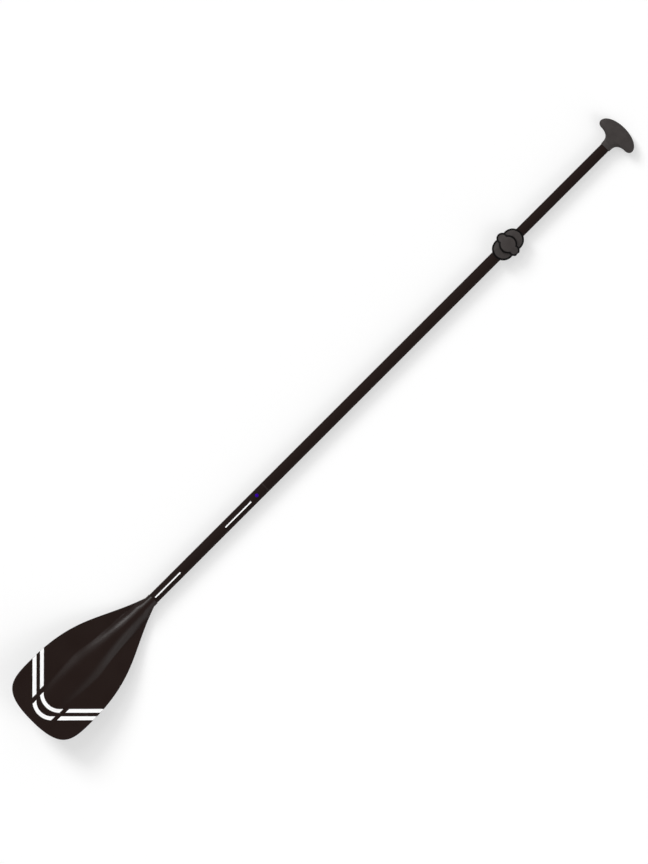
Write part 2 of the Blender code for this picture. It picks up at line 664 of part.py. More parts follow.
def make_barrel_pin(material):
    pin = rod(-PIN_HALF_LENGTH, PIN_HALF_LENGTH, PIN_RADIUS, facets=SMALL_FACETS)
    barrel = add_piece("barrel_pin", pin, material, (X_CLAMP, PIN_Y, PIN_Z))
    hole = rod(-2 * PIN_RADIUS, 2 * PIN_RADIUS, BOLT_RADIUS + GAP, "Z", SMALL_FACETS)
    return combine(barrel, add_piece("cut_barrel", hole, place=(X_CLAMP, PIN_Y, PIN_Z)))


def make_cam_pad(material):
    # A plate with a round front on the upper lug, under the lever's knuckle.
    radius = EAR_RADIUS - LUG_INSET - GAP
    back = PIN_Y + PAD_BACK + EAR_OFFSET
    cut = asin(back / radius)
    outline = arc((0, 0), radius, pi - cut, 2 * pi + cut, 20)
    pad = prism(outline, "Z", PAD_TOP - PAD_THICKNESS, PAD_TOP)
    plate = add_piece("cam_pad", pad, material, (X_CLAMP, -EAR_OFFSET, 0))
    half = KNUCKLE_HALF_LENGTH + RELIEF_MARGIN - GAP
    keep = block((-half, -2 * EAR_RADIUS, -COLLAR_BASE), (half, 2 * EAR_RADIUS, LEVER_TOP))
    keep = add_piece("shape_pad", keep, place=(X_CLAMP, -EAR_OFFSET, 0))
    combine(plate, keep, operation="INTERSECT")
    hole = rod(LUG_TOP, PAD_TOP + GAP, BOLT_RADIUS + GAP, "Z", SMALL_FACETS)
    return combine(plate, add_piece("cut_pad", hole, place=(X_CLAMP, PIN_Y, 0)))


def make_bolt_washer(material):
    top = RECESS_FLOOR - GAP
    corners = [(top - WASHER_THICKNESS, BOLT_RADIUS + GAP), (top, BOLT_RADIUS + GAP),
               (top, WASHER_RADIUS), (top - WASHER_THICKNESS, WASHER_RADIUS)]
    ring = turned(corners, along="Z", closed=True, facets=SMALL_FACETS)
    return add_piece("bolt_washer", ring, material, (X_CLAMP, PIN_Y, 0))


def make_draw_bolt(material):
    head_top = RECESS_FLOOR - WASHER_THICKNESS - 2 * GAP
    head_bottom = head_top - HEAD_HEIGHT
    end = PIN_Z + PIN_RADIUS - BOLT_END_INSET
    profile = [(head_bottom, 0), (head_bottom, HEAD_RADIUS), (head_top, HEAD_RADIUS),
               (head_top, BOLT_RADIUS), (end, BOLT_RADIUS), (end, 0)]
    body = turned(profile, along="Z", facets=SMALL_FACETS)
    bolt = add_piece("draw_bolt", body, material, (X_CLAMP, PIN_Y, 0))
    key = prism(hexagon(HEAD_KEY), "Z", head_bottom - GAP, head_top - HEAD_HEIGHT / 3)
    return combine(bolt, add_piece("cut_bolt_key", key, place=(X_CLAMP, PIN_Y, 0)))


def make_guide_bush(material):
    spigot = UPPER_BORE - GAP
    rim_end = X_UPPER_END - GAP
    profile = [(rim_end - BUSH_RIM, spigot - BUSH_WALL), (rim_end - BUSH_RIM, UPPER_RADIUS),
               (rim_end, UPPER_RADIUS), (rim_end, spigot),
               (X_UPPER_END + BUSH_SPIGOT, spigot), (X_UPPER_END + BUSH_SPIGOT, spigot - BUSH_WALL)]
    return add_piece("guide_bush", turned(profile, closed=True), material)


def make_upper_tube(material):
    body = tube(X_UPPER_END, X_GRIP - GAP, UPPER_BORE, UPPER_RADIUS)
    return add_piece("upper_tube", body, material)


def grip_outline():
    # Half the outline of the grip, as (distance from the tube's end, half-width).
    stem = UPPER_RADIUS + GRIP_STEP
    widest = GRIP_LENGTH - GRIP_CROWN
    knots = [
        knot((0, stem), 0, after=STEM_LENGTH / 2),
        knot((STEM_LENGTH, stem + STEM_FLARE), STEM_SLOPE, STEM_LENGTH / 2, STEM_LENGTH / 3),
        knot((ARM_ROOT, ARM_ROOT_HALF_WIDTH), ARM_SLOPE, ARM_FILLET, ARM_SHOULDER),
        knot((widest, GRIP_HALF_WIDTH), 0, (widest - ARM_ROOT) / 2, GRIP_CROWN * QUARTER_HANDLE),
        knot((GRIP_LENGTH, 0), -pi / 2, GRIP_HALF_WIDTH * QUARTER_HANDLE),
    ]
    return bezier_chain(knots, 8)


def grip_ring(station, half_width, half_depth, squareness):
    points = []
    for step in range(GRIP_SIDES):
        turn = 2 * pi * step / GRIP_SIDES
        share = (abs(cos(turn)) ** squareness + abs(sin(turn)) ** squareness) ** (-1 / squareness)
        points.append((station, half_width * share * cos(turn), half_depth * share * sin(turn)))
    return points


def make_grip(material):
    spigot = UPPER_BORE - GAP
    rings = [grip_ring(station, spigot, spigot, 2) for station in (-GRIP_SPIGOT, 0)]
    widest = GRIP_LENGTH - GRIP_CROWN
    for station, half_width in grip_outline()[:-1]:
        palm = smooth_step(STEM_LENGTH / 2, widest, station)
        stem_depth = min(half_width, GRIP_HALF_DEPTH)
        depth = stem_depth + (GRIP_HALF_DEPTH - stem_depth) * palm
        if station > widest:
            depth = GRIP_HALF_DEPTH * sqrt(1 - ((station - widest) / GRIP_CROWN) ** 2)
        rings.append(grip_ring(station, half_width, depth, 2 + (PALM_SQUARENESS - 2) * palm))
    rings.append([(GRIP_LENGTH, 0, 0)])
    return add_piece("t_grip", loft(rings), material, (X_GRIP, 0, 0), sharp=radians(60))


def main():
    clear_scene()
    moulded_black = make_material("moulded_black", (0.022, 0.013, 0.012), 0.42)
    coated_tube = make_material("coated_tube", (0.022, 0.013, 0.012), 0.35, 0.2)
    grey_plastic = make_material("grey_plastic", (0.051, 0.045, 0.044), 0.5)
    ring_grey = make_material("ring_grey", (0.036, 0.026, 0.023), 0.5)
    violet_plastic = make_material("violet_plastic", (0.045, 0.003, 0.32), 0.4)
    bare_aluminium = make_material("bare_aluminium", (0.72, 0.73, 0.74), 0.35, 1.0)
    plain_steel = make_material("plain_steel", (0.55, 0.55, 0.56), 0.3, 1.0)
    white_nylon = make_material("white_nylon", (0.75, 0.74, 0.70), 0.5)
    grey_foam = make_material("grey_foam", (0.30, 0.31, 0.32), 0.95)
    make_blade(moulded_black)
    make_lower_tube(coated_tube)
    make_seal("lower_seal", X_NECK + SEAL_SPACING, SHAFT_BORE, grey_foam)
    make_joint_ring(ring_grey)
    make_ferrule(bare_aluminium)
    make_ferrule_plug(white_nylon)
    make_button(violet_plastic)
    make_button_spring(plain_steel)
    make_middle_tube(coated_tube)
    make_seal("middle_seal", X_SEAM + FERRULE_IN_MIDDLE + SEAL_SPACING, SHAFT_BORE, grey_foam)
    make_collar(grey_plastic)
    make_collar_screws(plain_steel)
    make_mouth_bush(white_nylon)
    make_lever(grey_plastic)
    make_barrel_pin(plain_steel)
    make_cam_pad(plain_steel)
    make_bolt_washer(plain_steel)
    make_draw_bolt(plain_steel)
    make_guide_bush(white_nylon)
    make_upper_tube(coated_tube)
    make_seal("upper_seal", X_UPPER_END + BUSH_SPIGOT + SEAL_SPACING, UPPER_BORE, grey_foam)
    make_grip(grey_plastic)


main()
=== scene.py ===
import json
from math import asin, atan2, cos, hypot, pi, radians, sin, sqrt

import bmesh
import bpy
from mathutils import Matrix, Vector
from mathutils.geometry import interpolate_bezier


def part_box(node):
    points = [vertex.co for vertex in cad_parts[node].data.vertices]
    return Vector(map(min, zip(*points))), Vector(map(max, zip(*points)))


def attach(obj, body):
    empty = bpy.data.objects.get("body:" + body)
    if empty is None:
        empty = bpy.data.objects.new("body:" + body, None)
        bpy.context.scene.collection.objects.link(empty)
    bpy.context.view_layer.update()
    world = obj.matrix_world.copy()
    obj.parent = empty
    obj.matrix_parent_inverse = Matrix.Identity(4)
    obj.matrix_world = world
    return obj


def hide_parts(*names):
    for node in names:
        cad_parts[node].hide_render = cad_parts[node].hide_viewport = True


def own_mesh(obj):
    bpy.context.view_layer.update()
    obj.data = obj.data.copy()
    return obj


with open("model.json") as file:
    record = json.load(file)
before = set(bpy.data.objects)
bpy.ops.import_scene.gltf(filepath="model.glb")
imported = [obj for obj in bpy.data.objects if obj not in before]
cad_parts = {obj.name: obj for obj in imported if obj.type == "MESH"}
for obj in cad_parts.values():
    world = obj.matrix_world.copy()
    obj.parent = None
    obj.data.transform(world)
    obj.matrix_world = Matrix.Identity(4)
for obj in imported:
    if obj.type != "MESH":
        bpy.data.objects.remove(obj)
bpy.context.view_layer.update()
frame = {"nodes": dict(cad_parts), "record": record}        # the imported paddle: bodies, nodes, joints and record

bodyNodes = frame["record"]["behaviour"]["bodies"]
bodyOf = {node: body for body, nodes in bodyNodes.items() for node in nodes}


def middleOf(node):
    low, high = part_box(node)
    return (low + high) / 2


def radiusOf(node):
    low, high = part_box(node)
    return (high.y - low.y) / 2


# Places and radii that come from the frame
gap = 0.0003                             # what pieces that touch keep between them
weld = 1e-6                              # points closer than this are one point
tiny = 1e-9                              # keeps a division from failing
axisHeight = middleOf("middle_tube").z
tubeRadius = radiusOf("middle_tube")
upperRadius = radiusOf("upper_tube")
ferruleRadius = radiusOf("ferrule")
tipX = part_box("blade")[0].x
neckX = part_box("blade")[1].x
buttonX = middleOf("snap_button").x
clampX = middleOf("clamp_lever").x
pinPlace = middleOf("barrel_pin")
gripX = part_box("upper_tube")[1].x + gap
print("frame loaded, shaft axis at", round(axisHeight, 4))


# Meshes

def newPiece(name, mesh):
    piece = bpy.data.objects.new(name, mesh)
    bpy.context.scene.collection.objects.link(piece)
    return piece


def pieceFrom(name, shape, place=(0, 0, 0)):
    # A bmesh becomes a piece at the origin, with its place in the mesh.
    bmesh.ops.remove_doubles(shape, verts=shape.verts, dist=weld)
    bmesh.ops.recalc_face_normals(shape, faces=shape.faces)
    bmesh.ops.translate(shape, verts=shape.verts, vec=Vector(place))
    mesh = bpy.data.meshes.new(name)
    shape.to_mesh(mesh)
    shape.free()
    return newPiece(name, mesh)


def freeze(piece):
    # What the modifiers make becomes the piece's own mesh.
    graph = bpy.context.evaluated_depsgraph_get()
    mesh = bpy.data.meshes.new_from_object(piece.evaluated_get(graph), depsgraph=graph)
    piece.modifiers.clear()
    old, piece.data = piece.data, mesh
    bpy.data.meshes.remove(old)
    return piece


def carve(piece, cutters, operation="DIFFERENCE"):
    group = bpy.data.collections.new("cutters")
    for tool in cutters:
        group.objects.link(tool)
    boolean = piece.modifiers.new("carve", "BOOLEAN")
    boolean.operation = operation
    boolean.solver = "EXACT"
    boolean.operand_type = "COLLECTION"
    boolean.collection = group
    freeze(piece)
    for tool in cutters:
        bpy.data.objects.remove(tool)
    bpy.data.collections.remove(group)
    return piece


def finished(piece, finish, sharp=35):
    # One finish all over, soft shading, and crisp corners where faces meet at more than sharp degrees.
    mesh = piece.data
    mesh.materials.clear()
    mesh.materials.append(finish)
    mesh.polygons.foreach_set("material_index", [0] * len(mesh.polygons))
    mesh.shade_smooth()
    mesh.set_sharp_from_angle(angle=radians(sharp))
    return piece


def dressed(piece, finish, slot, *nodes, sharp=35):
    # A finished piece that takes the place of CAD nodes and moves with their body.
    finished(piece, finish, sharp)
    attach(piece, bodyOf[nodes[0]])
    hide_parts(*nodes)
    return piece


def arc(centre, radius, start, end, steps):
    across, up = radius if isinstance(radius, tuple) else (radius, radius)
    turns = [start + (end - start) * step / steps for step in range(steps + 1)]
    return [(centre[0] + across * cos(turn), centre[1] + up * sin(turn)) for turn in turns]


def knot(place, slope, before=0, after=0):
    # A point of a curve with its handles along the slope.
    run = Vector((cos(slope), sin(slope)))
    middle = Vector(place)
    return middle, middle - run * before, middle + run * after


def bezierChain(knots, steps):
    points = []
    for (start, _, leave), (end, arrive, _) in zip(knots, knots[1:]):
        flat = [Vector((*place, 0)) for place in (start, leave, arrive, end)]
        points += [(p.x, p.y) for p in interpolate_bezier(*flat, steps)][:-1]
    return points + [tuple(knots[-1][0])]


def valueAt(curve, station):
    # Reads a line of points whose first coordinate climbs.
    for (x0, y0), (x1, y1) in zip(curve, curve[1:]):
        if station <= x1:
            return y0 + (y1 - y0) * (station - x0) / max(x1 - x0, tiny)
    return curve[-1][1]


def smoothStep(low, high, value):
    share = min(max((value - low) / (high - low), 0), 1)
    return share * share * (3 - 2 * share)


def prism(outline, axis, low, high):
    # A closed outline drawn on two axes, extruded along the third.
    shape = bmesh.new()
    verts = []
    for first, second in outline:
        place = [first, second]
        place.insert("XYZ".index(axis), low)
        verts.append(shape.verts.new(place))
    grown = bmesh.ops.extrude_face_region(shape, geom=[shape.faces.new(verts)])
    shift = Vector([high - low if letter == axis else 0 for letter in "XYZ"])
    moved = [item for item in grown["geom"] if isinstance(item, bmesh.types.BMVert)]
    bmesh.ops.translate(shape, verts=moved, vec=shift)
    return shape


def block(low, high):
    corners = [(low[0], low[1]), (high[0], low[1]), (high[0], high[1]), (low[0], high[1])]
    return prism(corners, "Z", low[2], high[2])


def loft(rings):
    # Skins a list of rings; a ring of one place is a pole, and an open end is capped.
    shape = bmesh.new()
    skins = [[shape.verts.new(place) for place in ring] for ring in rings]
    for this, following in zip(skins, skins[1:]):
        count = max(len(this), len(following))
        for step in range(count):
            nearby = (step + 1) % count
            if len(this) == 1:
                shape.faces.new((this[0], following[nearby], following[step]))
            elif len(following) == 1:
                shape.faces.new((this[step], this[nearby], following[0]))
            else:
                shape.faces.new((this[step], this[nearby], following[nearby], following[step]))
    for end in (skins[0], skins[-1]):
        if len(end) > 1:
            shape.faces.new(end)
    return shape


# Node trees

def addNode(tree, kind, settings=None, inputs=None):
    # A node with its settings; an input is a value, or a socket to link from.
    made = tree.nodes.new(kind)
    for name, value in (settings or {}).items():
        setattr(made, name, value)
    for socket, value in (inputs or {}).items():
        if isinstance(value, bpy.types.NodeSocket):
            tree.links.new(value, made.inputs[socket])
        else:
            made.inputs[socket].default_value = value
    return made


def newTree(name, sockets):
    # A geometry tree with named inputs, its input node's outputs by name, and its output node.
    tree = bpy.data.node_groups.new(name, "GeometryNodeTree")
    tree.interface.new_socket("Geometry", in_out="INPUT", socket_type="NodeSocketGeometry")
    for label, kind in sockets.items():
        tree.interface.new_socket(label, in_out="INPUT", socket_type=f"NodeSocket{kind}")
    tree.interface.new_socket("Geometry", in_out="OUTPUT", socket_type="NodeSocketGeometry")
    return tree, addNode(tree, "NodeGroupInput").outputs


def endTree(tree, geometry, finish):
    # Every tree ends in Realize Instances and Set Material.
    solid = addNode(tree, "GeometryNodeRealizeInstances", inputs={"Geometry": geometry})
    painted = addNode(tree, "GeometryNodeSetMaterial",
                      inputs={"Geometry": solid.outputs[0], "Material": finish})
    addNode(tree, "NodeGroupOutput", inputs={"Geometry": painted.outputs[0]})
    return tree


def runTree(piece, tree, values):
    modifier = piece.modifiers.new(tree.name, "NODES")
    modifier.node_group = tree
    sockets = {item.name: item.identifier for item in tree.interface.items_tree
               if item.item_type == "SOCKET" and item.in_out == "INPUT"}
    for label, value in values.items():
        modifier[sockets[label]] = value
    return freeze(piece)


def makeLatheTree():
    # Sweeps a profile round a ring: profile x is out from the ring, and y runs down the axis.
    tree, given = newTree("turnedPiece", {"Ring Radius": "Float", "Sides": "Int",
                                          "Weld": "Float", "Finish": "Material"})
    profile = addNode(tree, "GeometryNodeMeshToCurve", inputs={"Mesh": given["Geometry"]})
    ring = addNode(tree, "GeometryNodeCurvePrimitiveCircle",
                   inputs={"Resolution": given["Sides"], "Radius": given["Ring Radius"]})
    swept = addNode(tree, "GeometryNodeCurveToMesh",
                    inputs={"Curve": ring.outputs[0], "Profile Curve": profile.outputs[0]})
    joined = addNode(tree, "GeometryNodeMergeByDistance",
                     inputs={"Geometry": swept.outputs[0], "Distance": given["Weld"]})
    return endTree(tree, joined.outputs[0], given["Finish"])


def makeMarkTree():
    # Drops a flat mark onto a surface and makes it a thin closed skin there.
    tree, given = newTree("paintedMark", {"Surface": "Object", "Drop": "Float", "Lift": "Float",
                                          "Thickness": "Float", "Finish": "Material"})
    surface = addNode(tree, "GeometryNodeObjectInfo", {"transform_space": "RELATIVE"},
                      {"Object": given["Surface"]})
    ray = addNode(tree, "GeometryNodeRaycast", inputs={
        "Target Geometry": surface.outputs["Geometry"], "Ray Direction": (0, 0, -1),
        "Ray Length": given["Drop"]})
    sunk = addNode(tree, "ShaderNodeMath", {"operation": "SUBTRACT"},
                   {0: given["Lift"], 1: given["Thickness"]})
    lift = addNode(tree, "ShaderNodeCombineXYZ", inputs={"Z": sunk.outputs[0]})
    place = addNode(tree, "ShaderNodeVectorMath", {"operation": "ADD"},
                    {0: ray.outputs["Hit Position"], 1: lift.outputs[0]})
    under = addNode(tree, "GeometryNodeSetPosition", inputs={
        "Geometry": given["Geometry"], "Selection": ray.outputs["Is Hit"],
        "Position": place.outputs[0]})
    grown = addNode(tree, "GeometryNodeExtrudeMesh", inputs={
        "Mesh": under.outputs[0], "Offset": (0, 0, 1), "Offset Scale": given["Thickness"],
        "Individual": False})
    flipped = addNode(tree, "GeometryNodeFlipFaces", inputs={"Mesh": under.outputs[0]})
    both = addNode(tree, "GeometryNodeJoinGeometry")
    for half in (grown.outputs["Mesh"], flipped.outputs[0]):
        tree.links.new(half, both.inputs[0])
    joined = addNode(tree, "GeometryNodeMergeByDistance",
                     inputs={"Geometry": both.outputs[0], "Distance": weld})
    return endTree(tree, joined.outputs[0], given["Finish"])


latheTree = makeLatheTree()
markTree = makeMarkTree()

lathe = {
    "sides": 96,
    "smallSides": 48,
    "ringRadius": 0.010,
    "round": 0.0003,         # rounding of the corners
    "roundSteps": 3,
    "sideShare": 0.4,        # how much of a side one rounded corner may take
}


def roundCorners(points, size, closed):
    # Each corner of a profile becomes a short curve; the ends on the axis stay.
    count = len(points)
    rounded = []
    for number, place in enumerate(points):
        corner = Vector(place)
        if not closed and number in (0, count - 1):
            rounded.append(corner)
            continue
        before = Vector(points[number - 1]) - corner
        after = Vector(points[(number + 1) % count]) - corner
        cut = min(size, before.length * lathe["sideShare"], after.length * lathe["sideShare"])
        start, end = corner + before.normalized() * cut, corner + after.normalized() * cut
        for step in range(lathe["roundSteps"] + 1):
            share = step / lathe["roundSteps"]
            rounded.append(start.lerp(corner, share).lerp(corner.lerp(end, share), share))
    return rounded


def turned(name, profile, finish, place, along="X", closed=False, sides=None, size=None):
    # Turns a profile of (distance along the axis, radius) points about X or Z.
    sides = sides or lathe["sides"]
    size = lathe["round"] if size is None else size
    line = roundCorners(profile, size, closed) if size else [Vector(point) for point in profile]
    mesh = bpy.data.meshes.new(name)
    edges = [(number, number + 1) for number in range(len(line) - 1)]
    if closed:
        edges.append((len(line) - 1, 0))
    places = [(radius - lathe["ringRadius"], -station, 0) for station, radius in line]
    mesh.from_pydata(places, edges, [])
    piece = runTree(newPiece(name, mesh), latheTree, {
        "Ring Radius": lathe["ringRadius"], "Sides": sides, "Weld": weld, "Finish": finish})
    turn = Matrix.Rotation(pi / 2, 4, "Y") if along == "X" else Matrix.Identity(4)
    piece.data.transform(Matrix.Translation(place) @ turn)
    shape = bmesh.new()
    shape.from_mesh(piece.data)
    bmesh.ops.recalc_face_normals(shape, faces=shape.faces)
    shape.to_mesh(piece.data)
    shape.free()
    return piece


def tube(name, start, end, inner, outer, finish):
    corners = [(start, inner), (end, inner), (end, outer), (start, outer)]
    return turned(name, corners, finish, (0, 0, axisHeight), closed=True)


def rod(name, start, end, radius, finish, place, along="X", sides=None, size=None):
    corners = [(start, 0), (start, radius), (end, radius), (end, 0)]
    return turned(name, corners, finish, place, along, sides=sides or lathe["smallSides"], size=size)


def cutter(start, end, radius, place, along="X"):
    return rod("cutter", start, end, radius, None, place, along, size=0)


def flatCutter(outline, axis, low, high, place=(0, 0, 0)):
    return pieceFrom("cutter", prism(outline, axis, low, high), place)


# Finishes

mixColours = {"inputs": (6, 7), "output": 2}   # the Mix node's colour sockets, which share their names


def startFinish(name, **values):
    material = bpy.data.materials.new(name)
    material.use_nodes = True
    tree = material.node_tree
    shader = tree.nodes["Principled BSDF"]
    for socket, value in values.items():
        shader.inputs[socket.replace("_", " ")].default_value = value
    return material, tree, shader, addNode(tree, "ShaderNodeTexCoord").outputs["Object"]


def noise(tree, where, scale, detail=3):
    return addNode(tree, "ShaderNodeTexNoise", inputs={
        "Vector": where, "Scale": scale, "Detail": detail}).outputs["Fac"]


def ramp(tree, factor, low, high, fromLow=0.3, fromHigh=0.7):
    # Spreads a pattern over a range; most of a noise lies between 0.3 and 0.7.
    return addNode(tree, "ShaderNodeMapRange", inputs={
        "Value": factor, "From Min": fromLow, "From Max": fromHigh,
        "To Min": low, "To Max": high}).outputs[0]


def mixed(tree, factor, first, second):
    mix = addNode(tree, "ShaderNodeMix", {"data_type": "RGBA"}, {"Factor": factor})
    for socket, colour in zip(mixColours["inputs"], (first, second)):
        if isinstance(colour, bpy.types.NodeSocket):
            tree.links.new(colour, mix.inputs[socket])
        else:
            mix.inputs[socket].default_value = colour
    return mix.outputs[mixColours["output"]]


def streaked(tree, where, scale):
    # Noise drawn out into lines along the axis with the smallest scale.
    stretched = addNode(tree, "ShaderNodeMapping", inputs={"Vector": where, "Scale": scale})
    return noise(tree, stretched.outputs[0], 1)


def paint(tree, shader, look, colourBy, roughBy):
    # One pattern mixes the look's two colours, and one spreads its roughness.
    tree.links.new(mixed(tree, colourBy, look["colour"], look["paler"]), shader.inputs["Base Color"])
    tree.links.new(ramp(tree, roughBy, *look["rough"]), shader.inputs["Roughness"])


def bumpFrom(tree, shader, height, distance, under=None):
    inputs = {"Height": height, "Distance": distance, "Strength": 1}
    if under:
        inputs["Normal"] = under
    bump = addNode(tree, "ShaderNodeBump", inputs=inputs).outputs[0]
    tree.links.new(bump, shader.inputs["Normal"])
    return bump


def mouldedFinish(name, look):
    # Moulded plastic: colour that drifts a little, fine grain and slow unevenness of the mould.
    material, tree, shader, where = startFinish(name, Specular_IOR_Level=look["specular"])
    grain = noise(tree, where, look["grain"], detail=2)
    paint(tree, shader, look, ramp(tree, noise(tree, where, look["drift"]), 0, 1), grain)
    slow = bumpFrom(tree, shader, noise(tree, where, look["waves"]), look["waveHeight"])
    bumpFrom(tree, shader, grain, look["grainHeight"], slow)
    return material


bladeLook = {
    "colour": (0.0088, 0.0030, 0.0017, 1),
    "paler": (0.0115, 0.0052, 0.0037, 1),
    "specular": 0.10,
    "drift": 14,
    "grain": 1400,
    "rough": (0.24, 0.32),
    "waves": 45,
    "waveHeight": 0.00008,
    "grainHeight": 0.00002,
}
shaftLook = {
    "colour": (0.0145, 0.0088, 0.0075, 1),
    "paler": (0.0170, 0.0108, 0.0095, 1),
    "specular": 0.03,
    "rough": (0.66, 0.80),
    "grain": 2600,
    "streaks": (3, 900, 900),     # the coat's faint lines run along the tube
    "grainHeight": 0.000015,
}
paintLook = {
    "colour": (0.93, 0.93, 0.93, 1),
    "paler": (0.98, 0.98, 0.98, 1),
    "specular": 0.2,
    "drift": 30,
    "grain": 900,
    "rough": (0.45, 0.6),
    "waves": 60,
    "waveHeight": 0.00002,
    "grainHeight": 0.00001,
}
clampLook = {
    "colour": (0.0470, 0.0410, 0.0395, 1),
    "paler": (0.0550, 0.0485, 0.0465, 1),
    # painted shade: a near-black band along the outlines of collar and lever, where their rounded edges fall into
    # shade
    "rim": (0.0012, 0.0009, 0.0009, 1),
    "shadeRimWidth": 0.0039,
    "shadeRimSoft": 0.0003,
    "specular": 0.05,
    "drift": 60,
    "pebbles": 1500,
    "pebbleSpan": (0.1, 0.7),    # from a pebble's middle to its edge, in the pattern's own measure
    "rough": (0.45, 0.6),
    "pebbleHeight": 0.00006,
}
buttonLook = {
    "colour": (0.0360, 0.0001, 0.3200, 1),
    "paler": (0.0410, 0.0004, 0.3450, 1),
    "specular": 0.03,
    "drift": 300,
    "grain": 2500,
    "rough": (0.25, 0.34),
    "waves": 400,
    "waveHeight": 0.00001,
    "grainHeight": 0.000004,
}
ringLook = {
    "colour": (0.0190, 0.0125, 0.0110, 1),
    "paler": (0.0225, 0.0150, 0.0135, 1),
    "specular": 0.06,
    "drift": 200,
    "grain": 2500,
    "rough": (0.5, 0.6),
    "waves": 300,
    "waveHeight": 0.00001,
    "grainHeight": 0.00001,
}
nylonLook = {
    "colour": (0.72, 0.71, 0.66, 1),
    "paler": (0.78, 0.77, 0.73, 1),
    "specular": 0.4,
    "drift": 120,
    "grain": 1800,
    "rough": (0.42, 0.56),
    "waves": 200,
    "waveHeight": 0.00002,
    "grainHeight": 0.00001,
}
metalLooks = {
    "brushedSteel": {
        "colour": (0.50, 0.50, 0.51, 1),
        "paler": (0.60, 0.60, 0.61, 1),
        "rough": (0.24, 0.40),
        "brush": (120, 120, 3000),
        "brushHeight": 0.000008,
    },
    "drawnAluminium": {
        "colour": (0.68, 0.69, 0.70, 1),
        "paler": (0.76, 0.77, 0.78, 1),
        "rough": (0.28, 0.44),
        "brush": (20, 2400, 2400),
        "brushHeight": 0.000008,
    },
}
foamLook = {
    # darker in the cells' hollows and paler on their rims: painted shade
    "colour": (0.24, 0.25, 0.26, 1),
    "paler": (0.36, 0.37, 0.38, 1),
    "specular": 0.2,
    "cells": 900,
    "cellShadeSpan": (0.1, 0.6),
    "rough": (0.88, 0.98),
    "cellHeight": 0.00035,
}


def tubeCoat(look):
    # Matte black coat on the tubes, with faint drawing lines along them.
    material, tree, shader, where = startFinish("tubeCoat", Specular_IOR_Level=look["specular"])
    grain = noise(tree, where, look["grain"], detail=2)
    paint(tree, shader, look, ramp(tree, streaked(tree, where, look["streaks"]), 0, 1), grain)
    bumpFrom(tree, shader, grain, look["grainHeight"])
    return material


def pebbledGrey(name, look, rim=False):
    # Dark grey plastic with a pebbled grain; a rimmed piece gets painted shade, a black band along its moulded
    # edge.
    material, tree, shader, where = startFinish(name, Specular_IOR_Level=look["specular"])
    drift = noise(tree, where, look["drift"])
    colour = mixed(tree, ramp(tree, drift, 0, 1), look["colour"], look["paler"])
    if rim:
        # painted shade: near-black where the edge attribute says a point lies close to the outline
        edge = addNode(tree, "ShaderNodeAttribute", {"attribute_name": "edge"}).outputs["Fac"]
        width, soft = look["shadeRimWidth"], look["shadeRimSoft"]
        inside = ramp(tree, edge, 0, 1, width - soft, width + soft)
        colour = mixed(tree, inside, look["rim"], colour)
    tree.links.new(colour, shader.inputs["Base Color"])
    pebbles = addNode(tree, "ShaderNodeTexVoronoi", {"feature": "SMOOTH_F1"},
                      {"Vector": where, "Scale": look["pebbles"]}).outputs["Distance"]
    tree.links.new(ramp(tree, pebbles, *look["rough"], *look["pebbleSpan"]), shader.inputs["Roughness"])
    bumpFrom(tree, shader, pebbles, look["pebbleHeight"])
    return material


def metalFinish(name, look):
    # Bare metal with brush or drawing lines along one axis.
    material, tree, shader, where = startFinish(name, Metallic=1)
    lines = streaked(tree, where, look["brush"])
    paint(tree, shader, look, ramp(tree, lines, 0, 1), lines)
    bumpFrom(tree, shader, lines, look["brushHeight"])
    return material


def foamFinish(look):
    # Closed-cell foam: cut cells, with painted shade darkening their hollows.
    material, tree, shader, where = startFinish("cellFoam", Specular_IOR_Level=look["specular"])
    cells = addNode(tree, "ShaderNodeTexVoronoi", inputs={
        "Vector": where, "Scale": look["cells"]}).outputs["Distance"]
    paint(tree, shader, look, ramp(tree, cells, 0, 1, *look["cellShadeSpan"]), cells)
    bumpFrom(tree, shader, cells, look["cellHeight"])
    return material


bladePlastic = mouldedFinish("bladePlastic", bladeLook)
whitePaint = mouldedFinish("whitePaint", paintLook)
violetPlastic = mouldedFinish("violetPlastic", buttonLook)
ringPlastic = mouldedFinish("ringPlastic", ringLook)
whiteNylon = mouldedFinish("whiteNylon", nylonLook)
shaftCoat = tubeCoat(shaftLook)
# the clamp's grey carries the painted shade band along its edges
clampGrey = pebbledGrey("clampGrey", clampLook, rim=True)
gripGrey = pebbledGrey("gripGrey", clampLook)
brushedSteel = metalFinish("brushedSteel", metalLooks["brushedSteel"])
drawnAluminium = metalFinish("drawnAluminium", metalLooks["drawnAluminium"])
cellFoam = foamFinish(foamLook)
print("finishes ready")


# Blade

bladeSizes = {
    "reach": 0.430,              # tip to the mouth of the neck, seen from above
    "halfWidth": 0.109,
    "widestFromTip": 0.110,
    "tipFullness": 0.109,
    "tipShoulder": 0.0717,
    "leadingShoulder": 0.155,
    "neckEase": 0.119,
    "neckSlope": radians(18.7),
    "lean": radians(10),
    "bendLength": 0.060,
    "socketDepth": 0.062,
    "socketLand": 0.003,
    "neckWall": 0.0012,
    "collar": 0.012,
    "neckFade": 0.020,
    "rimHalfThickness": 0.0014,
    "spineHalfWidth": 0.0432,
    "spineTipHalfWidth": 0.021,
    "spineWidestFromTip": 0.190,
    "spineTaper": 0.036,
    "spineNeckEase": 0.150,
    "spineTipSlope": radians(13.3),
    "spineNeckSlope": radians(3),
    "spineNeckWall": 0.0102,
    "shoulderPower": 3,
    "shoulderSoftness": 1.65,
    "neckPower": 2.1,
    "neckSoftness": 1,
    "rimShare": 0.07,
    "frontFall": 0.8,
    "backFall": 2.3,
    "flankSoftening": 0.240,
    "outlineSteps": 70,
    "spineSteps": 26,
    "flangeSteps": 16,
}
neckRadius = tubeRadius + gap + bladeSizes["neckWall"]
straightNeck = bladeSizes["socketDepth"] + bladeSizes["socketLand"]
